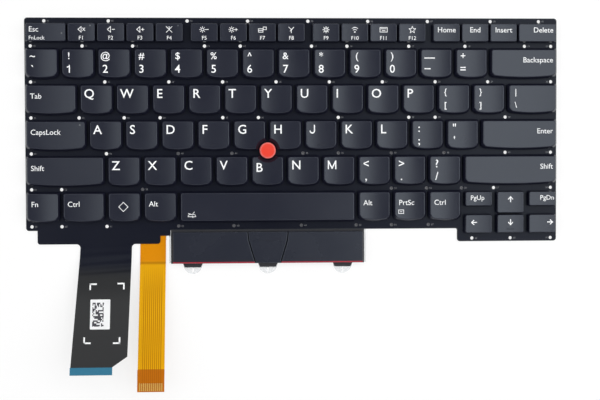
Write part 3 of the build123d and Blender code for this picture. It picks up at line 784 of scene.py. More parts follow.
class Finish:
    """A material under way: its node tree, its shader and the masks it is mixed from."""

    def __init__(self, groups, name, colour, roughness, **sockets):
        self.groups = groups
        self.material = bpy.data.materials.new(name)
        self.material.use_nodes = True
        self.tree = self.material.node_tree
        self.shader = self.tree.nodes["Principled BSDF"]
        self.shader.inputs["Base Color"].default_value = colour
        self.shader.inputs["Roughness"].default_value = roughness
        for label, value in sockets.items():
            self.shader.inputs[label.replace("_", " ")].default_value = value
        self.colour = None
        self.place = self.node("ShaderNodeTexCoord").outputs["Object"]

    def node(self, kind, **values):
        """New node with its settings."""
        node = self.tree.nodes.new(kind)
        for name, value in values.items():
            setattr(node, name, value)
        return node

    def feed(self, socket, value):
        """Sets a socket to a number, or links an output to it."""
        if isinstance(value, (int, float)):
            socket.default_value = value
        else:
            self.tree.links.new(value, socket)

    def group(self, kind, **inputs):
        """Outputs of a shared shader group."""
        node = self.node("ShaderNodeGroup", node_tree=self.groups[kind])
        for label, value in inputs.items():
            self.feed(node.inputs[label.replace("_", " ")], value)
        return node.outputs

    def grain(self, grain, tone):
        """Fine grain and broad tone, by their scales."""
        outputs = self.group("grain", Grain_Scale=grain, Tone_Scale=tone)
        return outputs["Grain"], outputs["Tone"]

    def band(self, value, low, high, soft):
        """Mask of the stretch where a value lies between two limits."""
        return self.group("band", Value=value, Low=low, High=high, Soft=soft)["Mask"]

    def math(self, operation, first, second=0.0):
        """Sum on two values."""
        node = self.node("ShaderNodeMath", operation=operation)
        for socket, value in zip(node.inputs, (first, second)):
            self.feed(socket, value)
        return node.outputs[0]

    def times(self, first, second):
        """Product of two values."""
        return self.math("MULTIPLY", first, second)

    def axis(self, letter, vector=None):
        """One coordinate of a vector, or of the place."""
        split = self.node("ShaderNodeSeparateXYZ")
        self.feed(split.inputs[0], vector or self.place)
        return split.outputs[letter]

    def turned(self, middle, degrees):
        """Coordinates about a point, turned in plan."""
        node = self.node("ShaderNodeMapping", vector_type="TEXTURE")
        node.inputs["Location"].default_value = middle
        node.inputs["Rotation"].default_value = (0, 0, math.radians(degrees))
        self.feed(node.inputs["Vector"], self.place)
        return node.outputs["Vector"]

    def tint(self, colour, mask):
        """Mixes a colour in where a mask is one."""
        mix = self.node("ShaderNodeMix", data_type="RGBA")
        if self.colour is None:
            mix.inputs[MIX_FIRST].default_value = self.shader.inputs["Base Color"].default_value
        else:
            self.feed(mix.inputs[MIX_FIRST], self.colour)
        mix.inputs[MIX_SECOND].default_value = colour
        self.feed(mix.inputs[0], mask)
        self.colour = mix.outputs[MIX_RESULT]
        self.feed(self.shader.inputs["Base Color"], self.colour)
        return self

    def roughness(self, mask, low, high):
        """Roughness between two values, by a mask."""
        ramp = self.node("ShaderNodeMapRange")
        ramp.inputs["To Min"].default_value = low
        ramp.inputs["To Max"].default_value = high
        self.feed(ramp.inputs["Value"], mask)
        self.feed(self.shader.inputs["Roughness"], ramp.outputs["Result"])
        return self

    def bump(self, height, strength, distance):
        """Bumps from a height."""
        node = self.node("ShaderNodeBump")
        node.inputs["Strength"].default_value = strength
        node.inputs["Distance"].default_value = distance
        self.feed(node.inputs["Height"], height)
        self.feed(self.shader.inputs["Normal"], node.outputs["Normal"])
        return self


def lighter(colour, share):
    """A colour moved towards white."""
    return tuple(c + (1 - c) * share for c in colour[:3]) + (1,)


def darker(colour, share):
    """A colour moved towards black."""
    return tuple(c * (1 - share) for c in colour[:3]) + (1,)


def grained(groups, name, colour, low, high, grain=2600, strength=0.2, lift=0.004, **more):
    """Satin surface with a fine grain and uneven tone, its roughness between two values."""
    finish = Finish(groups, name, colour, (low + high) / 2, **more)
    fine, broad = finish.grain(grain, tone=55)
    finish.tint(lighter(colour, lift), broad)
    finish.roughness(broad, low, high)
    return finish.bump(fine, strength, GRAIN_DEPTH)


def button_finish(groups, colours):
    """Button plastic with a red line along the front edge."""
    finish = grained(groups, "button_plastic_striped", colours.button, 0.22, 0.32, Specular_Tint=COOL)
    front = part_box("button_left")[0].y
    line = finish.band(finish.axis("Y"), front + STRIPE_START, front + STRIPE_END, STRIPE_SOFT)
    return finish.tint(colours.stripe, line)


def amber_finish(groups, colours):
    """Amber film with conductors under it, a fold near the plate and a brown stiff end."""
    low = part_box("backlight_ribbon")[0]
    finish = Finish(groups, "amber_film", colours.amber, 0.35, Specular_IOR_Level=0.06)
    broad = finish.grain(900, tone=70)[1]
    finish.tint(colours.amber_pale, broad)
    along = finish.axis("Y")
    across = finish.axis("X", finish.turned((low.x, low.y, 0), RIBBON_TURN))
    phase = finish.math("FRACT", finish.times(across, 1 / TRACE_PITCH))
    inside = finish.band(across, TRACES_START, TRACES_END, TRACES_SOFT)
    traces = finish.times(finish.band(phase, *TRACE_SHARE), inside)
    shown = finish.band(along, -FAR, RIBBON_FOLD - TRACES_FADE, TRACES_FADE)
    finish.tint(colours.copper, finish.times(traces, shown))
    above = finish.band(along, RIBBON_FOLD - DEEP_START, FAR, DEEP_SOFT)
    finish.tint(colours.amber_deep, above)
    fold = finish.band(along, RIBBON_FOLD - FOLD_WIDTH, RIBBON_FOLD, FOLD_WIDTH)
    finish.tint(darker(colours.copper, 0.1), finish.times(fold, 0.75))
    end = finish.band(along, -FAR, low.y + STIFF_LENGTH, STIFF_SOFT)
    finish.tint(colours.stiffener, end)
    finish.tint(darker(colours.stiffener, 0.35), finish.times(finish.times(traces, end), 0.6))
    finish.roughness(broad, 0.28, 0.42)
    return finish.bump(traces, 0.3, TRACE_DEPTH)


def film_finish(groups, colours):
    """Black film: satin over the plate, with a gloss that grows along its free tail, where a lighter tint
    is a painted reflection.
    """
    finish = Finish(
        groups, "black_film", colours.film, 0.32, Specular_IOR_Level=0.16, Specular_Tint=COOL,
        Coat_Roughness=0.16)
    fine, broad = finish.grain(1800, tone=40)
    finish.tint(lighter(colours.film, 0.003), broad)
    along = finish.axis("Y")
    # Painted reflection: the free tail gets the lighter tint; the same mask also adds to the coat's gloss
    free = finish.band(along, -FAR, CREASE_FRONT, TAIL_FADE)
    finish.tint(colours.tail, free)
    end = finish.band(along, -FAR, GLOSS_START, GLOSS_FADE)
    gloss = finish.times(finish.math("ADD", free, end), GLOSS_STEP)
    finish.feed(finish.shader.inputs["Coat Weight"], gloss)
    finish.roughness(broad, 0.28, 0.36)
    return finish.bump(fine, 0.1, GRAIN_DEPTH)


def stick_finish(groups, colours):
    """Red rubber with a fine rough top, and a painted highlight in paler red on its rounded rim."""
    centre = middle(*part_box("stick_cap"))
    finish = Finish(groups, "stick_rubber", colours.stick, 0.6, Specular_IOR_Level=0.2)
    fine, broad = finish.grain(3200, tone=260)
    finish.tint(lighter(colours.stick, 0.03), broad)
    about = finish.turned((centre.x, centre.y, 0), 0)
    flat = finish.node("ShaderNodeCombineXYZ")
    for index, letter in enumerate("XY"):
        finish.feed(flat.inputs[index], finish.axis(letter, about))
    reach = finish.node("ShaderNodeVectorMath", operation="LENGTH")
    finish.feed(reach.inputs[0], flat.outputs[0])
    # Painted highlight: paler red over the rounded rim, where the bevel catches the light
    rim = finish.band(reach.outputs["Value"], STICK_HIGHLIGHT_REACH, FAR, STICK_HIGHLIGHT_SOFT)
    finish.tint(lighter(colours.stick, 0.22), finish.times(rim, 0.6))
    finish.roughness(fine, 0.5, 0.8)
    return finish.bump(fine, 0.5, STICK_GRAIN_DEPTH)


def label_finish(groups, colours):
    """White label with a field of plain dark blocks."""
    finish = Finish(groups, "paper_label", colours.ink, 0.6, Specular_IOR_Level=0.3)
    broad = finish.grain(1500, tone=120)[1]
    finish.tint(darker(colours.ink, 0.1), broad)
    about = finish.turned(LABEL_MIDDLE, 0)
    snapped = finish.node("ShaderNodeVectorMath", operation="SNAP")
    snapped.inputs[1].default_value = LABEL_BLOCK
    finish.feed(snapped.inputs[0], about)
    cells = finish.node("ShaderNodeTexWhiteNoise", noise_dimensions="2D")
    finish.feed(cells.inputs["Vector"], snapped.outputs[0])
    dark = finish.math("GREATER_THAN", cells.outputs["Value"], 0.5)
    for letter, (first, last) in LABEL_FIELD.items():
        dark = finish.times(dark, finish.band(finish.axis(letter, about), first, last, LABEL_SOFT))
    return finish.tint(LABEL_INK, dark)


def materials():
    """Every material of the keyboard, by name."""
    colours = settings().colours
    groups = {"grain": grain_group(), "band": band_group()}

    def satin(name, colour, low, high, **more):
        return grained(groups, name, colour, low, high, **more)

    made = {
        "key": satin("key_plastic", colours.key, 0.2, 0.28, Specular_Tint=COOL),
        "button": satin("button_plastic", colours.button, 0.22, 0.32, Specular_Tint=COOL),
        "striped_button": button_finish(groups, colours),
        "frame": satin("frame_plastic", darker(colours.button, 0.4), 0.4, 0.55),
        "film": film_finish(groups, colours),
        "plate": satin("coated_plate", colours.plate, 0.3, 0.42, grain=900, Specular_Tint=COOL),
        "guide": satin("light_guide", colours.guide, 0.4, 0.6, grain=700, lift=0.1),
        "ink": satin("white_ink", colours.ink, 0.45, 0.6, grain=3000, lift=0.1),
        "dim_ink": satin("grey_ink", colours.dim_ink, 0.45, 0.6, grain=3000, lift=0.05),
        "stick": stick_finish(groups, colours),
        "amber": amber_finish(groups, colours),
        "brown": satin("brown_stiffener", colours.stiffener, 0.3, 0.45, grain=800),
        "contact": satin("gold_contacts", colours.contact, 0.25, 0.4, Metallic=0.7),
        "blue": satin(
            "blue_stiffener", colours.blue, 0.35, 0.5, grain=900, lift=0.02, Specular_IOR_Level=0.3),
        "clear": satin(
            "clear_sheet", colours.clear, 0.12, 0.25, grain=500, strength=0.05, lift=0.1, Alpha=0.4),
        "rubber": satin("dome_rubber", colours.rubber, 0.5, 0.65, lift=0.05),
        "link": satin("link_plastic", colours.link, 0.35, 0.5),
        "lamp": satin("dark_lamp", colours.lamp, 0.1, 0.2, lift=0.02, Coat_Weight=0.6),
        "label": label_finish(groups, colours),
        # Painted shade, seen through the middle holes of the plate
        "backing": satin("backing_film", colours.backing, 0.4, 0.55, grain=900),
    }
    return {name: finish.material for name, finish in made.items()}


# Keycaps

CapForm = namedtuple("CapForm", "flare bow front_corner back_corner dish")


def cap_form(space):
    """Flare, bow, corners and dish of a key, by its kind."""
    sizes = settings().keycaps
    if not space.full:
        return CapForm(sizes.low_flare, 0.0, sizes.low_corner, sizes.back_corner, sizes.low_dish)
    if space.name == "space":
        return CapForm(sizes.flare, 0.0, sizes.back_corner, sizes.back_corner, 0.0)
    return CapForm(sizes.flare, sizes.bow, sizes.front_corner, sizes.back_corner, sizes.dish)


def round_corners(piece, test, radius):
    """In edit mode, rounds corners of a flat outline."""
    pick(piece, "verts", test)
    bpy.ops.mesh.bevel(offset=radius, segments=6, affect="VERTICES", clamp_overlap=True)


def is_rim(edge):
    """True for an edge between a top and a side."""
    if len(edge.link_faces) != 2:
        return False
    up = sorted(face.normal.z for face in edge.link_faces)
    return up[1] > 0.9 and abs(up[0]) < 0.8


def solid_cap(width, depth, form):
    """Closed keycap about the origin, with the rim of its top at height nought."""
    sizes = settings().keycaps
    flare, bow, front_corner, back_corner, dish = form
    half = width / 2
    front = -depth / 2
    cap = sheet("cap_blank", width, depth)
    edit()
    round_corners(cap, lambda v: v.co.y > 0, back_corner)
    round_corners(cap, lambda v: v.co.y < front + MM / 100, front_corner)
    for index in range(1, sizes.columns):
        pick_all()
        cut = -half + index * width / sizes.columns
        bpy.ops.mesh.bisect(plane_co=(cut, 0, 0), plane_no=(1, 0, 0))
    leave()

    def dished(place):
        share = (place.x / half) ** 2
        ahead = max(0.0, place.y / front)
        return Vector((place.x, place.y + bow * share * ahead, -dish * (1 - share)))

    shape(cap, dished)
    only(cap)
    edit()
    pick_all()
    extrude((0, 0, -sizes.height))
    grown = ((width + 2 * flare) / width, (depth + 2 * flare) / depth, 0)
    bpy.ops.transform.resize(value=grown, center_override=(0, 0, -sizes.height))
    pick_all()
    bpy.ops.mesh.normals_make_consistent(inside=False)
    pick(cap, "edges", is_rim)
    bpy.ops.mesh.bevel(offset=sizes.edge, segments=3, affect="EDGES", clamp_overlap=True)
    leave()
    return cap


def notched(cap, place):
    """Cuts the round notch beside the pointing stick."""
    sizes = settings().keycaps
    deselect()
    bpy.ops.mesh.primitive_cone_add(
        vertices=64, radius1=sizes.notch_bottom, radius2=sizes.notch_top, depth=sizes.height,
        location=(place.x, place.y, -sizes.height / 2))
    cutter = named("notch_cutter")
    settle_place(cutter)
    apply_modifier(cap, "BOOLEAN", operation="DIFFERENCE", object=cutter, solver="EXACT")
    thrown_away(cutter)


def hollowed(cap):
    """Opens the underside of a solid cap."""
    sizes = settings().keycaps
    only(cap)
    edit()
    pick(cap, "faces", lambda face: face.normal.z < -0.9)
    bpy.ops.mesh.inset(thickness=sizes.wall, depth=0, use_boundary=True)
    extrude((0, 0, sizes.height - sizes.roof))
    leave()
    smooth(cap)
    return cap


def round_upright_edges(piece, radius):
    """Rounds the corners of a thin sheet in plan."""
    only(piece)
    edit()
    pick(piece, "edges", lambda edge: edge.verts[0].co.xy == edge.verts[1].co.xy)
    bpy.ops.mesh.bevel(offset=radius, segments=5, affect="EDGES")
    leave()


def place_of(space):
    """Middle of a key's top, at the height of its rim."""
    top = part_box("key_a")[0].z + settings().keycaps.height
    centre = middle(space.low, space.high)
    return Vector((centre.x, centre.y, top))


def model_caps(spaces):
    """One cap for each key: keys of one size are modelled once and copied."""
    blanks = {}
    caps = {}
    stick = middle(*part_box("stick_cap"))
    for space in spaces:
        form = cap_form(space)
        width = space.high.x - space.low.x - 2 * form.flare
        depth = space.high.y - space.low.y - 2 * form.flare
        place = place_of(space)
        near_stick = space.name in STICK_NEIGHBOURS
        key = (round(width, 5), round(depth, 5), form, space.name if near_stick else "")
        if key not in blanks:
            blank = solid_cap(width, depth, form)
            if near_stick:
                notched(blank, stick - place)
            blanks[key] = hollowed(blank)
        caps[space.name] = copy_of(blanks[key], f"{space.name}_keycap", place)
    for blank in blanks.values():
        thrown_away(blank)
    return caps


def rubber_dome(foot, head, height):
    """Dome with a turned-out foot and a sunken head, standing on the origin."""
    deselect()
    bpy.ops.mesh.primitive_cone_add(
        vertices=24, radius1=foot, radius2=head, depth=height, location=(0, 0, height / 2))
    dome = named("dome_blank")
    settle_place(dome)
    edit()
    pick(dome, "faces", lambda face: face.normal.z > 0.9)
    bpy.ops.mesh.inset(thickness=head * DOME_RING, depth=0)
    bpy.ops.transform.translate(value=(0, 0, -height * DOME_SINK))
    pick(dome, "edges", lambda edge: all(v.co.z < height / 100 for v in edge.verts))
    bpy.ops.mesh.bevel(offset=foot * DOME_FOOT_ROUND, segments=2, affect="EDGES")
    leave()
    smooth(dome)
    return dome


def link_frame(length, width, height, way):
    """Open frame that slopes from one end up to the other."""
    sizes = settings().springs
    link = sheet("link_blank", width, length)
    edit()
    pick_all()
    bpy.ops.mesh.inset(thickness=sizes.link_bar, depth=0)
    bpy.ops.mesh.delete(type="FACE")
    leave()
    thickened(link, sizes.link_thickness)
    slope = (height - sizes.link_thickness) / length
    shape(link, lambda place: place + Vector((0, 0, (place.y * way + length / 2) * slope)))
    return link


def crossed_links(length, width, height):
    """Two link frames, one inside the other."""
    outer = link_frame(length, width, height, 1)
    inner = link_frame(length, width - 2 * settings().springs.link_step, height, -1)
    return joined([outer, inner], "links_blank")


# Prints

@cache
def capital_share():
    """Height of a capital letter in the built-in font, for a size of one."""
    deselect()
    bpy.ops.object.text_add()
    sample = bpy.context.object
    sample.data.body = "H"
    bpy.ops.object.convert(target="MESH")
    share = max(vertex.co.y for vertex in bpy.context.object.data.vertices)
    thrown_away(bpy.context.object)
    return share


def lettering(words, height, place, align="LEFT"):
    """Words as a thin mesh, with the foot of the letters at a place."""
    prints = settings().prints
    size = height / capital_share()
    deselect()
    bpy.ops.object.text_add(location=place)
    text = bpy.context.object
    text.data.body = words
    text.data.size = size
    text.data.align_x = align
    text.data.offset = size * (prints.bold if height > prints.word else prints.word_bold)
    text.data.extrude = prints.depth / 2
    text.data.resolution_u = 3
    bpy.ops.object.convert(target="MESH")
    piece = bpy.context.object
    settle_place(piece)
    return piece


def bars(lines, place, width):
    """Thin flat strokes from point to point, as one mesh about a place."""
    prints = settings().prints
    pieces = []
    for start, end in lines:
        start, end = Vector(start), Vector(end)
        run = end - start
        centre = place + ((start + end) / 2).to_3d() - Vector((0, 0, prints.depth / 2))
        turn = math.atan2(run.y, run.x)
        pieces.append(sheet("stroke", run.length + width, width, centre, turn))
    icon = joined(pieces, "icon")
    thickened(icon, prints.depth)
    return icon


def run_through(points):
    """Lines from each point to the next."""
    return list(zip(points, points[1:]))


def outline(*points):
    """Lines through points, closed."""
    return run_through([*points, points[0]])


def arc_lines(middle, across, along, first, last, count):
    """Lines along a stretch of an ellipse, between two angles."""
    points = []
    for index in range(count + 1):
        angle = first + (last - first) * index / count
        points.append((middle[0] + across * math.cos(angle), middle[1] + along * math.sin(angle)))
    return run_through(points)


def ring_lines(radius, count, middle=(0, 0)):
    """Lines round a ring."""
    return arc_lines(middle, radius, radius, 0, math.tau, count)


def rays(inner, outer, count, turn=0.0, middle=(0, 0)):
    """Short lines that point outwards."""
    lines = []
    for index in range(count):
        angle = turn + index * math.tau / count
        ends = [
            (middle[0] + reach * math.cos(angle), middle[1] + reach * math.sin(angle))
            for reach in (inner, outer)
        ]
        lines.append(tuple(ends))
    return lines


def star_lines(points, outer, inner):
    """Outline of a star."""
    corners = []
    for index in range(2 * points):
        angle = math.pi / 2 + index * math.pi / points
        reach = inner if index % 2 else outer
        corners.append((reach * math.cos(angle), reach * math.sin(angle)))
    return outline(*corners)


def box_lines(left, front, right, back):
    """Outline of a box."""
    return outline((left, front), (right, front), (right, back), (left, back))


def turned_lines(lines, quarter_turns):
    """Lines turned by quarter turns."""
    for _ in range(quarter_turns):
        lines = [((-a[1], a[0]), (-b[1], b[0])) for a, b in lines]
    return lines


# Strokes of the drawn signs and pictograms, in a unit of half their size
SPEAKER = outline((-1.1, 0), (0, 1.0), (0, -1.0))
MINUS = [((0.55, 0), (1.45, 0))]
PLUS = [*MINUS, ((1.0, -0.45), (1.0, 0.45))]
CROSS = [((0.5, -0.5), (1.3, 0.5)), ((0.5, 0.5), (1.3, -0.5))]
SUN_MIDDLE = (-0.6, 0)
SUN = ring_lines(0.5, 10, SUN_MIDDLE) + rays(0.85, 1.0, 8, 0.0, SUN_MIDDLE)
ONE = [((0.12, -0.86), (0.12, 0.86)), ((0.12, 0.66), (-0.36, 0.46))]
DASH = [((-1, 0), (1, 0))]
LETTER_M = [
    ((-0.86, -0.87), (-0.86, 0.87)), ((-0.8, 0.8), (0, -0.8)), ((0, -0.8), (0.8, 0.8)),
    ((0.86, 0.87), (0.86, -0.87)),
]
LETTER_J = [((0.5, 0.87), (0.5, -0.36))] + arc_lines((0, -0.36), 0.5, 0.52, 0, -math.pi * 0.92, 8)
ARROW = [((0, -1.0), (0, 1.0)), ((0, 1.0), (-0.85, 0.1)), ((0, 1.0), (0.85, 0.1))]
ICONS = {
    "f1": SPEAKER + CROSS,
    "f2": SPEAKER + MINUS,
    "f3": SPEAKER + PLUS,
    "f4": [((-1.0, -1.0), (1.0, 1.0)), ((-1.0, 1.0), (1.0, -1.0)), ((0, 0.2), (0, 1.0))],
    "f5": SUN + MINUS,
    "f6": SUN + PLUS,
    "f7": box_lines(-1.4, -0.9, 0.2, 0.3) + [((-1.2, -0.3), (0.0, -0.3))] + box_lines(0.3, 0.0, 1.4, 0.9),
    "f8": [((0, -1.1), (0, 0)), ((0, 0), (-0.9, 0.9)), ((0, 0), (0.9, 0.9)), ((-0.4, -0.5), (0.4, 0.3))],
    "f9": ring_lines(0.65, 12) + rays(0.75, 1.15, 8) + [((0, -0.5), (0, 0.5))],
    "f10": ring_lines(0.2, 6, (0, -0.8)) + run_through([(-0.6, -0.1), (0, 0.15), (0.6, -0.1)])
    + run_through([(-1.0, 0.5), (0, 0.9), (1.0, 0.5)]),
    "f11": box_lines(-1.3, -0.8, 1.3, 0.8) + [((-0.9, 0.35), (0.9, 0.35)), ((-0.5, -0.3), (0.5, -0.3))],
    "f12": star_lines(5, 1.25, 0.55),
    "up": ARROW,
    "left": turned_lines(ARROW, 1),
    "down": turned_lines(ARROW, 2),
    "right": turned_lines(ARROW, 3),
    "system": outline((0, 1.3), (1.3, 0), (0, -1.3), (-1.3, 0)),
    "print_screen": box_lines(-1.0, -0.7, 1.0, 0.7) + [((-0.3, 0), (0.3, 0))],
    "space": outline((-1.4, -0.8), (1.4, -0.8), (1.0, 0.0), (-1.0, 0.0)) + rays(0.5, 1.2, 3, math.pi / 4),
}

# Letters that are drawn, with the distance of their middle from the left edge
DRAWN_LETTERS = {"m": (LETTER_M, 4.2 * MM), "j": (LETTER_J, 3.2 * MM)}
LETTER_STROKE = 0.135
LETTER_LEFT = 1.5 * MM
LETTER_TOP = 1.85 * MM
NOTCHED_LETTER_TOP = 3.1 * MM
ONE_STROKE = 0.14

# The two dashes of one key: half their length, and their middle from the left and back edges
DASHES = [(2.55 * MM, 4.3 * MM, 4.4 * MM), (1.4 * MM, 3.2 * MM, 10.1 * MM)]
DASH_STROKE = 0.12

# Pairs of signs: names of their heights, middle from the left edge, and tops from the back edge
PAIR_STYLES = [
    (PAIRS, ("upper", "digit"), 3.3 * MM, (1.5 * MM, 8.1 * MM)),
    (SMALL_PAIRS, ("sign", "sign"), 3.3 * MM, (1.9 * MM, 8.9 * MM)),
    (MIDDLE_PAIRS, ("digit", "digit"), 3.4 * MM, (1.6 * MM, 8.3 * MM)),
]

# A word: its height's name, a share of the key's width, a step from there, and its top from the back edge
Word = namedtuple("Word", "text height across step top align")
WORDS = {
    "escape": [
        Word("Esc", "word", 0, 1.4 * MM, 1.7 * MM, "LEFT"),
        Word("FnLock", "small_word", 0, 1.4 * MM, 6.6 * MM, "LEFT"),
    ],
    "delete": [Word("Delete", "word", 1, -1.3 * MM, 1.8 * MM, "RIGHT")],
    "page_up": [Word("PgUp", "page_word", 0.45, 0, 1.9 * MM, "CENTER")],
    "page_down": [Word("PgDn", "page_word", 1, -0.6 * MM, 1.9 * MM, "RIGHT")],
}
for key, text in LEFT_WORDS.items():
    WORDS[key] = [Word(text, "word", 0, 1.9 * MM, 4.1 * MM, "LEFT")]
for key, text in RIGHT_WORDS.items():
    WORDS[key] = [Word(text, "word", 1, -1.4 * MM, 4.0 * MM, "RIGHT")]
for key, text in MIDDLE_WORDS.items():
    WORDS[key] = [Word(text, "word", 0.5, 0, 1.8 * MM, "CENTER")]

# A pictogram: its half size as a share of the setting, its middle as for a word, its stroke's name
IconPlace = namedtuple("IconPlace", "half across step down stroke")
ICON_PLACES = {
    "print_screen": IconPlace(5 / 11, 0, 3.2 * MM, 10.4 * MM, "stroke"),
    "system": IconPlace(5 / 8, 0.47, 0, 7.0 * MM, "stroke"),
    "space": IconPlace(1 / 2, 0, 5.6 * MM, 11.2 * MM, "stroke"),
    "left": IconPlace(10 / 23, 0.32, 0, 4.0 * MM, "arrow_stroke"),
    "up": IconPlace(10 / 23, 0.5, 0, 4.0 * MM, "arrow_stroke"),
    "down": IconPlace(10 / 23, 0.5, 0, 4.0 * MM, "arrow_stroke"),
    "right": IconPlace(10 / 23, 0.8, 0, 4.0 * MM, "arrow_stroke"),
}
for key in ICONS:
    if key in FUNCTION_ROW:
        WORDS[key] = [Word(key.upper(), "small_word", 0.5, 0, 6.6 * MM, "CENTER")]
        ICON_PLACES[key] = IconPlace(1 / 2, 0.5, 0, 3.2 * MM, "stroke")


class KeyPrint:
    """The print on one key, laid out flat from the back left corner of its top."""

    def __init__(self, space):
        flare = cap_form(space).flare
        self.name = space.name
        self.corner = Vector((space.low.x + flare, space.high.y - flare, 0))
        self.width = space.high.x - space.low.x - 2 * flare
        self.marks = []

    def put(self, words, height, right, top, align="LEFT"):
        """Sets words, with the tops of their capitals below the back edge."""
        place = self.corner + Vector((right, -top - height, 0))
        self.marks.append(lettering(words, height, place, align))

    def draw(self, lines, half, right, down, stroke):
        """Draws strokes about a point, at half their size."""
        scaled = [((a[0] * half, a[1] * half), (b[0] * half, b[1] * half)) for a, b in lines]
        self.marks.append(bars(scaled, self.corner + Vector((right, -down, 0)), stroke))

    def letter(self):
        """A capital, set or drawn."""
        height = settings().prints.letter
        if self.name in DRAWN_LETTERS:
            lines, right = DRAWN_LETTERS[self.name]
            self.draw(lines, height / 2, right, LETTER_TOP + height / 2, height * LETTER_STROKE)
        else:
            self.put(
                self.name.upper(), height, LETTER_LEFT,
                NOTCHED_LETTER_TOP if self.name == "b" else LETTER_TOP)

    def pair(self, signs, heights, right, tops):
        """One sign over another."""
        for sign, kind, top in zip(signs, heights, tops):
            height = getattr(settings().prints, kind)
            if sign == "1":
                self.draw(ONE, height / 2, right, top + height / 2, height * ONE_STROKE)
            else:
                self.put(sign, height, right, top, "CENTER")

    def made(self):
        """The whole print as one piece, or nothing."""
        prints = settings().prints
        if len(self.name) == 1 and self.name.isalpha():
            self.letter()
        elif self.name == "minus":
            for half, right, down in DASHES:
                self.draw(DASH, half, right, down, prints.letter * DASH_STROKE)
        for pairs, heights, right, tops in PAIR_STYLES:
            if self.name in pairs:
                self.pair(pairs[self.name], heights, right, tops)
        for word in WORDS.get(self.name, []):
            right = self.width * word.across + word.step
            self.put(word.text, getattr(prints, word.height), right, word.top, word.align)
        if self.name in ICON_PLACES:
            icon = ICON_PLACES[self.name]
            right = self.width * icon.across + icon.step
            stroke = getattr(prints, icon.stroke)
            self.draw(ICONS[self.name], prints.icon * icon.half, right, icon.down, stroke)
        return joined(self.marks, f"{self.name}_print") if self.marks else None


def sunk_in(mark, space):
    """Lays a flat print on its key's dish."""
    prints = settings().prints
    form = cap_form(space)
    place = place_of(space)
    half = (space.high.x - space.low.x) / 2 - form.flare
    rise = prints.proud - prints.depth / 2

    def lay(point):
        share = min(1.0, ((point.x - place.x) / half) ** 2)
        return Vector((point.x, point.y, point.z + place.z - form.dish * (1 - share) + rise))

    shape(mark, lay)
    return mark


# Operators

class KEYBOARD_OT_finishes(bpy.types.Operator):
    """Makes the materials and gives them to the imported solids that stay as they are"""
    bl_idname = "keyboard.finishes"
    bl_label = "Finishes"

    def execute(self, context):
        FINISHES.update(materials())
        for node, finish in KEPT_NODES.items():
            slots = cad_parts[node].data.materials
            slots.clear()
            slots.append(FINISHES[finish])
        return {"FINISHED"}


class KEYBOARD_OT_keycaps(bpy.types.Operator):
    """Models the dished keycaps in place of their solids"""
    bl_idname = "keyboard.keycaps"
    bl_label = "Keycaps"

    def execute(self, context):
        sizes = settings().springs
        spaces = key_spaces()
        caps = model_caps(spaces)
        for space in spaces:
            if space.body != "root":
                cap = finished(caps[space.name], space.body, FINISHES["key"])
                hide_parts(space.body)
        for group, names in FIXED_KEYS.items():
            members = [space for space in spaces if space.name in names]
            dome = rubber_dome(sizes.dome_foot, sizes.dome_head, sizes.dome_height)
            domes = []
            for space in members:
                centre = place_of(space)
                foot = Vector((centre.x, centre.y, members[0].low.z))
                domes.append(copy_of(dome, f"{space.name}_dome", foot))
            thrown_away(dome)
            bank = joined([caps[space.name] for space in members], f"{group}_caps")
            finished(bank, "root", FINISHES["key"])
            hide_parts(group)
            finished(joined(domes, f"{group}_domes"), "root", FINISHES["rubber"])
        return {"FINISHED"}


class KEYBOARD_OT_prints(bpy.types.Operator):
    """Prints the letters, signs and pictograms on the keys"""
    bl_idname = "keyboard.prints"
    bl_label = "Prints"

    def execute(self, context):
        fixed = {"function_row": [], "control_keys": []}
        for space in key_spaces():
            mark = KeyPrint(space).made()
            if mark is None:
                continue
            sunk_in(mark, space)
            if space.body != "root":
                finished(mark, space.body, FINISHES["ink"])
            else:
                fixed["function_row" if space.name in FUNCTION_ROW else "control_keys"].append(mark)
        for group, marks in fixed.items():
            finished(joined(marks, f"{group}_prints"), "root", FINISHES["ink"])
        return {"FINISHED"}


def homing_bar(space):
    """Low bar near the front of a key's top, by which a finger finds the key."""
    form = cap_form(space)
    place = place_of(space)
    place.y = space.low.y + form.flare + HOMING_SETBACK
    place.z += HOMING_RISE - form.dish
    bar = block(f"{space.name}_homing_bar", HOMING_SIZE, place)
    apply_modifier(bar, "BEVEL", width=HOMING_EDGE, segments=3)
    smooth(bar)
    return bar


def lamp_in(space, left, down):
    """Small round lamp in a key's top, placed from its back right corner."""
    flare = cap_form(space).flare
    place = (space.high.x - flare - left, space.high.y - flare - down, 0)
    deselect()
    bpy.ops.mesh.primitive_cylinder_add(
        vertices=24, radius=LAMP_RADIUS, depth=LAMP_DEPTH, location=place)
    lamp = named(f"{space.name}_lamp")
    settle_place(lamp)
    apply_modifier(lamp, "BEVEL", width=LAMP_EDGE, segments=2)
    return sunk_in(lamp, space)


class KEYBOARD_OT_key_details(bpy.types.Operator):
    """Adds the homing bars and the small lamps of the keys"""
    bl_idname = "keyboard.key_details"
    bl_label = "Homing bars and lamps"

    def execute(self, context):
        spaces = {space.name: space for space in key_spaces()}
        for name in HOMING_KEYS:
            finished(homing_bar(spaces[name]), spaces[name].body, FINISHES["key"])
        lamps = []
        for name, (left, down) in LAMPS.items():
            lamp = lamp_in(spaces[name], left, down)
            if spaces[name].body == "root":
                lamps.append(lamp)
            else:
                finished(lamp, spaces[name].body, FINISHES["lamp"])
        finished(joined(lamps, "function_row_lamps"), "root", FINISHES["lamp"])
        return {"FINISHED"}


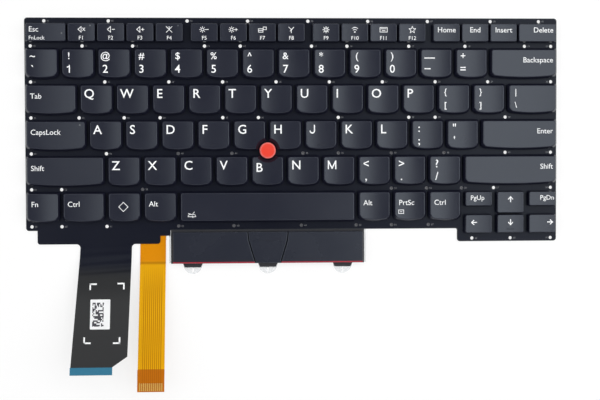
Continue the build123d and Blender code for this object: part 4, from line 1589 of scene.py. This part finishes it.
class KEYBOARD_OT_hole_numbers(bpy.types.Operator):
    """Prints a small number beside each hole of the plate"""
    bl_idname = "keyboard.hole_numbers"
    bl_label = "Hole numbers"

    def execute(self, context):
        walls = islands("base_plate", lambda face: abs(face.normal.z) < 0.1)
        holes = [middle(low, high) for low, high in walls if high.x - low.x < WIDEST_HOLE]
        holes.sort(key=lambda hole: (-round(hole.y / HOLE_ROW), hole.x))
        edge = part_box("base_plate")[1].x
        numbers = []
        for index, hole in enumerate(holes, start=1):
            near_edge = hole.x > edge - NUMBER_TURN
            step = -NUMBER_STEP if near_edge else NUMBER_STEP
            place = Vector((hole.x + step, hole.y - NUMBER_HEIGHT / 2, 0))
            align = "RIGHT" if near_edge else "LEFT"
            numbers.append(lettering(f"{index:02d}", NUMBER_HEIGHT, place, align))
        row = joined(numbers, "hole_numbers")
        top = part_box("rubber_domes")[0].z
        shape(row, lambda p: Vector((p.x, p.y, p.z + top)))
        finished(row, "root", FINISHES["dim_ink"])
        return {"FINISHED"}


def nearest(boxes, low, high):
    """The box whose middle lies nearest to that of another, in plan."""
    centre = middle(low, high).xy
    return min(boxes, key=lambda box: (middle(*box).xy - centre).length)


def spring_blank(kind, size, blanks):
    """Dome or links of a size, modelled once."""
    key = (kind, round(size.x, 5), round(size.z, 5))
    if key not in blanks and kind == "dome":
        blanks[key] = rubber_dome(size.x / 2, size.x * DOME_HEAD_SHARE, size.z)
    elif key not in blanks:
        blanks[key] = crossed_links(size.y, size.x, size.z)
    return blanks[key]


def sprung(kind, box, name, blanks):
    """Dome or links in place of their solid, on the root body."""
    node, finish = SPRINGS[kind]
    low, high = box
    foot = Vector((*middle(low, high).xy, low.z))
    piece = copy_of(spring_blank(kind, high - low, blanks), f"{name}_{kind}", foot)
    finished(piece, "root", FINISHES[finish])
    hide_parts(node)
    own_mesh(piece)


class KEYBOARD_OT_springs(bpy.types.Operator):
    """Models a dome and a pair of links under each key that travels, and a dome under each button"""
    bl_idname = "keyboard.springs"
    bl_label = "Domes and links"

    def execute(self, context):
        boxes = {kind: islands(SPRINGS[kind][0]) for kind in SPRINGS}
        front = min(middle(*box).y for box in boxes["dome"])
        button_domes = [box for box in boxes["dome"] if abs(middle(*box).y - front) < MM]
        blanks = {}
        for space in key_spaces():
            if space.body == "root":
                continue
            for kind in SPRINGS:
                box = nearest(boxes[kind], space.low, space.high)
                sprung(kind, box, space.name, blanks)
        for body in BUTTONS:
            box = nearest(button_domes, *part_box(body))
            sprung("dome", box, body, blanks)
        for piece in blanks.values():
            thrown_away(piece)
        return {"FINISHED"}


class KEYBOARD_OT_pointing_stick(bpy.types.Operator):
    """Models the soft cap of the pointing stick"""
    bl_idname = "keyboard.pointing_stick"
    bl_label = "Pointing stick"

    def execute(self, context):
        low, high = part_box("stick_cap")
        radius = (high.x - low.x) / 2
        deselect()
        bpy.ops.mesh.primitive_cylinder_add(
            vertices=64, radius=radius, depth=high.z - low.z, location=middle(low, high))
        cap = named("stick_cap_rubber")
        settle_place(cap)
        edit()
        pick(cap, "edges", lambda edge: all(v.co.z > high.z - MM / 100 for v in edge.verts))
        bpy.ops.mesh.bevel(offset=STICK_EDGE, segments=5, affect="EDGES")
        pick(cap, "faces", lambda face: face.normal.z > 0.99)
        for step, drop in STICK_DISH:
            bpy.ops.mesh.inset(thickness=step, depth=0)
            bpy.ops.transform.translate(value=(0, 0, -drop))
        pick(cap, "faces", lambda face: face.normal.z < -0.99)
        bpy.ops.mesh.inset(thickness=radius - STICK_SOCKET_RADIUS, depth=0)
        extrude((0, 0, STICK_SOCKET_DEPTH))
        leave()
        smooth(cap)
        finished(cap, "root", FINISHES["stick"])
        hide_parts("stick_cap")
        return {"FINISHED"}


def creased(place):
    """Where a point of the film goes when the tail's soft creases are made."""
    share = (place.y - CREASE_BACK) / (CREASE_FRONT - CREASE_BACK)
    if not 0 < share < 1:
        return place
    phase = math.tau * CREASE_WAVES * share + place.x / CREASE_SLANT
    wave = CREASE_HEIGHT * math.sin(math.pi * share) * math.sin(phase)
    return place + Vector((0, 0, wave))


def label_on(film):
    """Paper label with rounded corners, laid on the tail."""
    label = block("tail_label", (*LABEL_SIZE, LABEL_THICKNESS), LABEL_MIDDLE)
    round_upright_edges(label, LABEL_CORNER)
    return laid_on(label, film)


def corner_marks_on(film):
    """White angles round the label, laid on the tail."""
    marks = []
    for (x, y), (right, up) in MARK_CORNERS:
        angle = [((0, 0), (MARK_WIDTH * right, 0)), ((0, 0), (0, MARK_HEIGHT * up))]
        marks.append(bars(angle, Vector((x, y, 0)), MARK_STROKE))
    return laid_on(joined(marks, "tail_corner_marks"), film)


class KEYBOARD_OT_membrane(bpy.types.Operator):
    """Models the black film with the soft creases of its tail"""
    bl_idname = "keyboard.membrane"
    bl_label = "Membrane"

    def execute(self, context):
        film = traced_copy("membrane", "black_film")
        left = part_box("ribbon_stiffener")[0].x + CREASE_MARGIN
        span = CREASE_FRONT - CREASE_BACK
        cut_across(film, "Y", [CREASE_BACK + span * i / CREASE_STRIPS for i in range(CREASE_STRIPS + 1)])
        cut_across(film, "X", [left + CREASE_COLUMN * i for i in range(CREASE_COLUMNS)])
        shape(film, creased)
        smooth(film, FILM_ANGLE)
        finished(film, "root", FINISHES["film"])
        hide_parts("membrane")
        context.view_layer.update()
        finished(label_on(film), "root", FINISHES["label"])
        finished(corner_marks_on(film), "root", FINISHES["ink"])
        return {"FINISHED"}


def contacts_on(ribbon):
    """Row of thin contacts at the end of the amber ribbon."""
    width, length = CONTACT_SIZE
    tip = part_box("backlight_ribbon")[0].y
    low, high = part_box("backlight_ribbon_stiffener")
    first = low.x + CONTACT_MARGIN
    last = high.x - CONTACT_MARGIN
    y = tip + CONTACT_INSET + length / 2
    contacts = []
    for index in range(CONTACT_COUNT):
        x = first + (last - first) * index / (CONTACT_COUNT - 1)
        contacts.append(sheet("contact", width, length, (x, y, 0)))
    row = joined(contacts, "amber_ribbon_contacts")
    shape(row, lambda p: Vector((p.x, p.y, height_on(ribbon, p.x, p.y) - CONTACT_SINK)))
    thickened(row, CONTACT_DEPTH)
    return row


class KEYBOARD_OT_backlight_ribbon(bpy.types.Operator):
    """Models the amber ribbon and its contacts"""
    bl_idname = "keyboard.backlight_ribbon"
    bl_label = "Backlight ribbon"

    def execute(self, context):
        ribbon = traced_copy("backlight_ribbon", "amber_ribbon")
        low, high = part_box("backlight_ribbon")
        span = low.y - high.y
        cut_across(ribbon, "Y", [high.y + span * i / RIBBON_STRIPS for i in range(1, RIBBON_STRIPS)])
        smooth(ribbon, FILM_ANGLE)
        finished(ribbon, "root", FINISHES["amber"])
        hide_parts("backlight_ribbon")
        context.view_layer.update()
        finished(contacts_on(ribbon), "root", FINISHES["contact"])
        return {"FINISHED"}


class KEYBOARD_OT_painted_shade_sheet(bpy.types.Operator):
    """Puts a dark sheet of painted shade under the middle of the light guide, seen through the holes
    there
    """
    bl_idname = "keyboard.backing_film"
    bl_label = "Backing film"

    def execute(self, context):
        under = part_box("backlight_sheet")[0].z
        left, right, front, back = SHADE_SHEET_EDGES
        size = (right - left, back - front, SHADE_SHEET_THICKNESS)
        place = ((left + right) / 2, (front + back) / 2, under - SHADE_SHEET_THICKNESS / 2)
        # A dark sheet as painted shade, where the holes would show the shaded floor
        film = block("backing_film", size, place)
        round_upright_edges(film, SHADE_SHEET_CORNER)
        finished(film, "root", FINISHES["backing"])
        return {"FINISHED"}


def softbox(name, place, size, power):
    """Area lamp that looks at the middle of the object."""
    lamp = bpy.data.lights.new(name, "AREA")
    lamp.shape = "RECTANGLE"
    lamp.size, lamp.size_y = size
    lamp.energy = power
    piece = bpy.data.objects.new(name, lamp)
    piece.location = place
    piece.rotation_euler = (LIGHT_TARGET - Vector(place)).to_track_quat("-Z", "Y").to_euler()
    bpy.context.scene.collection.objects.link(piece)


def seen_directly(tree):
    """One for camera, glossy and transmission rays."""
    path = tree.nodes.new("ShaderNodeLightPath")
    found = path.outputs["Is Camera Ray"]
    for label in ("Is Glossy Ray", "Is Transmission Ray"):
        either = tree.nodes.new("ShaderNodeMath")
        either.operation = "MAXIMUM"
        tree.links.new(found, either.inputs[0])
        tree.links.new(path.outputs[label], either.inputs[1])
        found = either.outputs[0]
    return found


def floor_material():
    """White floor that glows to the eye and keeps a faint shadow of the object."""
    material = bpy.data.materials.new("white_floor")
    material.use_nodes = True
    tree = material.node_tree
    tree.nodes.clear()
    out = tree.nodes.new("ShaderNodeOutputMaterial")
    mix = tree.nodes.new("ShaderNodeMixShader")
    plain = tree.nodes.new("ShaderNodeBsdfDiffuse")
    plain.inputs["Color"].default_value = FLOOR_COLOUR
    glow = tree.nodes.new("ShaderNodeEmission")
    blend = tree.nodes.new("ShaderNodeMath")
    blend.operation = "MULTIPLY"
    blend.inputs[1].default_value = settings().stage.floor_glow
    tree.links.new(seen_directly(tree), blend.inputs[0])
    tree.links.new(blend.outputs[0], mix.inputs["Fac"])
    tree.links.new(plain.outputs[0], mix.inputs[1])
    tree.links.new(glow.outputs[0], mix.inputs[2])
    tree.links.new(mix.outputs[0], out.inputs["Surface"])
    return material


def studio_world():
    """Dim studio round the object, with a white backdrop along the horizon."""
    world = bpy.data.worlds.new("studio")
    world.use_nodes = True
    tree = world.node_tree
    background = tree.nodes["Background"]
    background.inputs["Color"].default_value = (1, 1, 1, 1)
    place = tree.nodes.new("ShaderNodeTexCoord")
    split = tree.nodes.new("ShaderNodeSeparateXYZ")
    tree.links.new(place.outputs["Generated"], split.inputs[0])
    backdrop = tree.nodes.new("ShaderNodeMapRange")
    backdrop.interpolation_type = "SMOOTHSTEP"
    backdrop.inputs["From Min"].default_value = BACKDROP_FULL
    backdrop.inputs["From Max"].default_value = BACKDROP_GONE
    backdrop.inputs["To Min"].default_value = 1.0
    backdrop.inputs["To Max"].default_value = 0.0
    tree.links.new(split.outputs["Z"], backdrop.inputs["Value"])
    shown = tree.nodes.new("ShaderNodeMath")
    shown.operation = "MULTIPLY"
    tree.links.new(backdrop.outputs["Result"], shown.inputs[0])
    tree.links.new(seen_directly(tree), shown.inputs[1])
    level = tree.nodes.new("ShaderNodeMapRange")
    level.inputs["To Min"].default_value = settings().stage.ambient
    level.inputs["To Max"].default_value = 1.0
    tree.links.new(shown.outputs[0], level.inputs["Value"])
    tree.links.new(level.outputs["Result"], background.inputs["Strength"])
    return world


def photo_camera():
    """Camera where the photographer's stood."""
    stage = settings().stage
    data = bpy.data.cameras.new("photo_camera")
    data.lens = stage.lens
    data.sensor_width = SENSOR_WIDTH
    data.clip_start, data.clip_end = CAMERA_CLIP
    camera = bpy.data.objects.new("photo_camera", data)
    camera.location = stage.camera_place
    camera.rotation_euler = stage.camera_turn
    bpy.context.scene.collection.objects.link(camera)
    return camera


class KEYBOARD_OT_stage(bpy.types.Operator):
    """Sets up the floor, the light and the camera"""
    bl_idname = "keyboard.stage"
    bl_label = "Stage"

    def execute(self, context):
        stage = settings().stage
        scene = context.scene
        scene.view_settings.view_transform = "Standard"
        under = cad_low.z - FLOOR_GAP
        floor = sheet("floor", stage.floor_size, stage.floor_size, (0, 0, under))
        floor.data.materials.append(floor_material())
        for name, place, size in SOFTBOXES:
            softbox(f"{name}_softbox", place, size, getattr(stage, f"{name}_power"))
        scene.world = studio_world()
        scene.camera = photo_camera()
        return {"FINISHED"}


class KEYBOARD_PT_panel(bpy.types.Panel):
    """Shows a button for each of the keyboard's operators"""
    bl_idname = "KEYBOARD_PT_panel"
    bl_label = "Keyboard"
    bl_space_type = "VIEW_3D"
    bl_region_type = "UI"
    bl_category = "Keyboard"

    def draw(self, context):
        for operator in OPERATORS:
            self.layout.operator(operator.bl_idname)


OPERATORS = [
    KEYBOARD_OT_finishes, KEYBOARD_OT_keycaps, KEYBOARD_OT_prints, KEYBOARD_OT_key_details,
    KEYBOARD_OT_hole_numbers, KEYBOARD_OT_springs, KEYBOARD_OT_pointing_stick, KEYBOARD_OT_membrane,
    KEYBOARD_OT_backlight_ribbon, KEYBOARD_OT_painted_shade_sheet, KEYBOARD_OT_stage,
]
CLASSES = [
    KeycapSizes, PrintSizes, SpringSizes, Colours, StageSettings, KeyboardSettings, *OPERATORS,
    KEYBOARD_PT_panel,
]


def register():
    """Registers the classes and the scene's settings."""
    for kind in CLASSES:
        bpy.utils.register_class(kind)
    bpy.types.Scene.keyboard = PointerProperty(type=KeyboardSettings)


def unregister():
    """Takes the classes and settings away again."""
    del bpy.types.Scene.keyboard
    for kind in reversed(CLASSES):
        bpy.utils.unregister_class(kind)


def main():
    """Builds the dressed keyboard."""
    register()
    for operator in OPERATORS:
        group, name = operator.bl_idname.split(".")
        getattr(getattr(bpy.ops, group), name)()


if __name__ == "__main__":
    main()
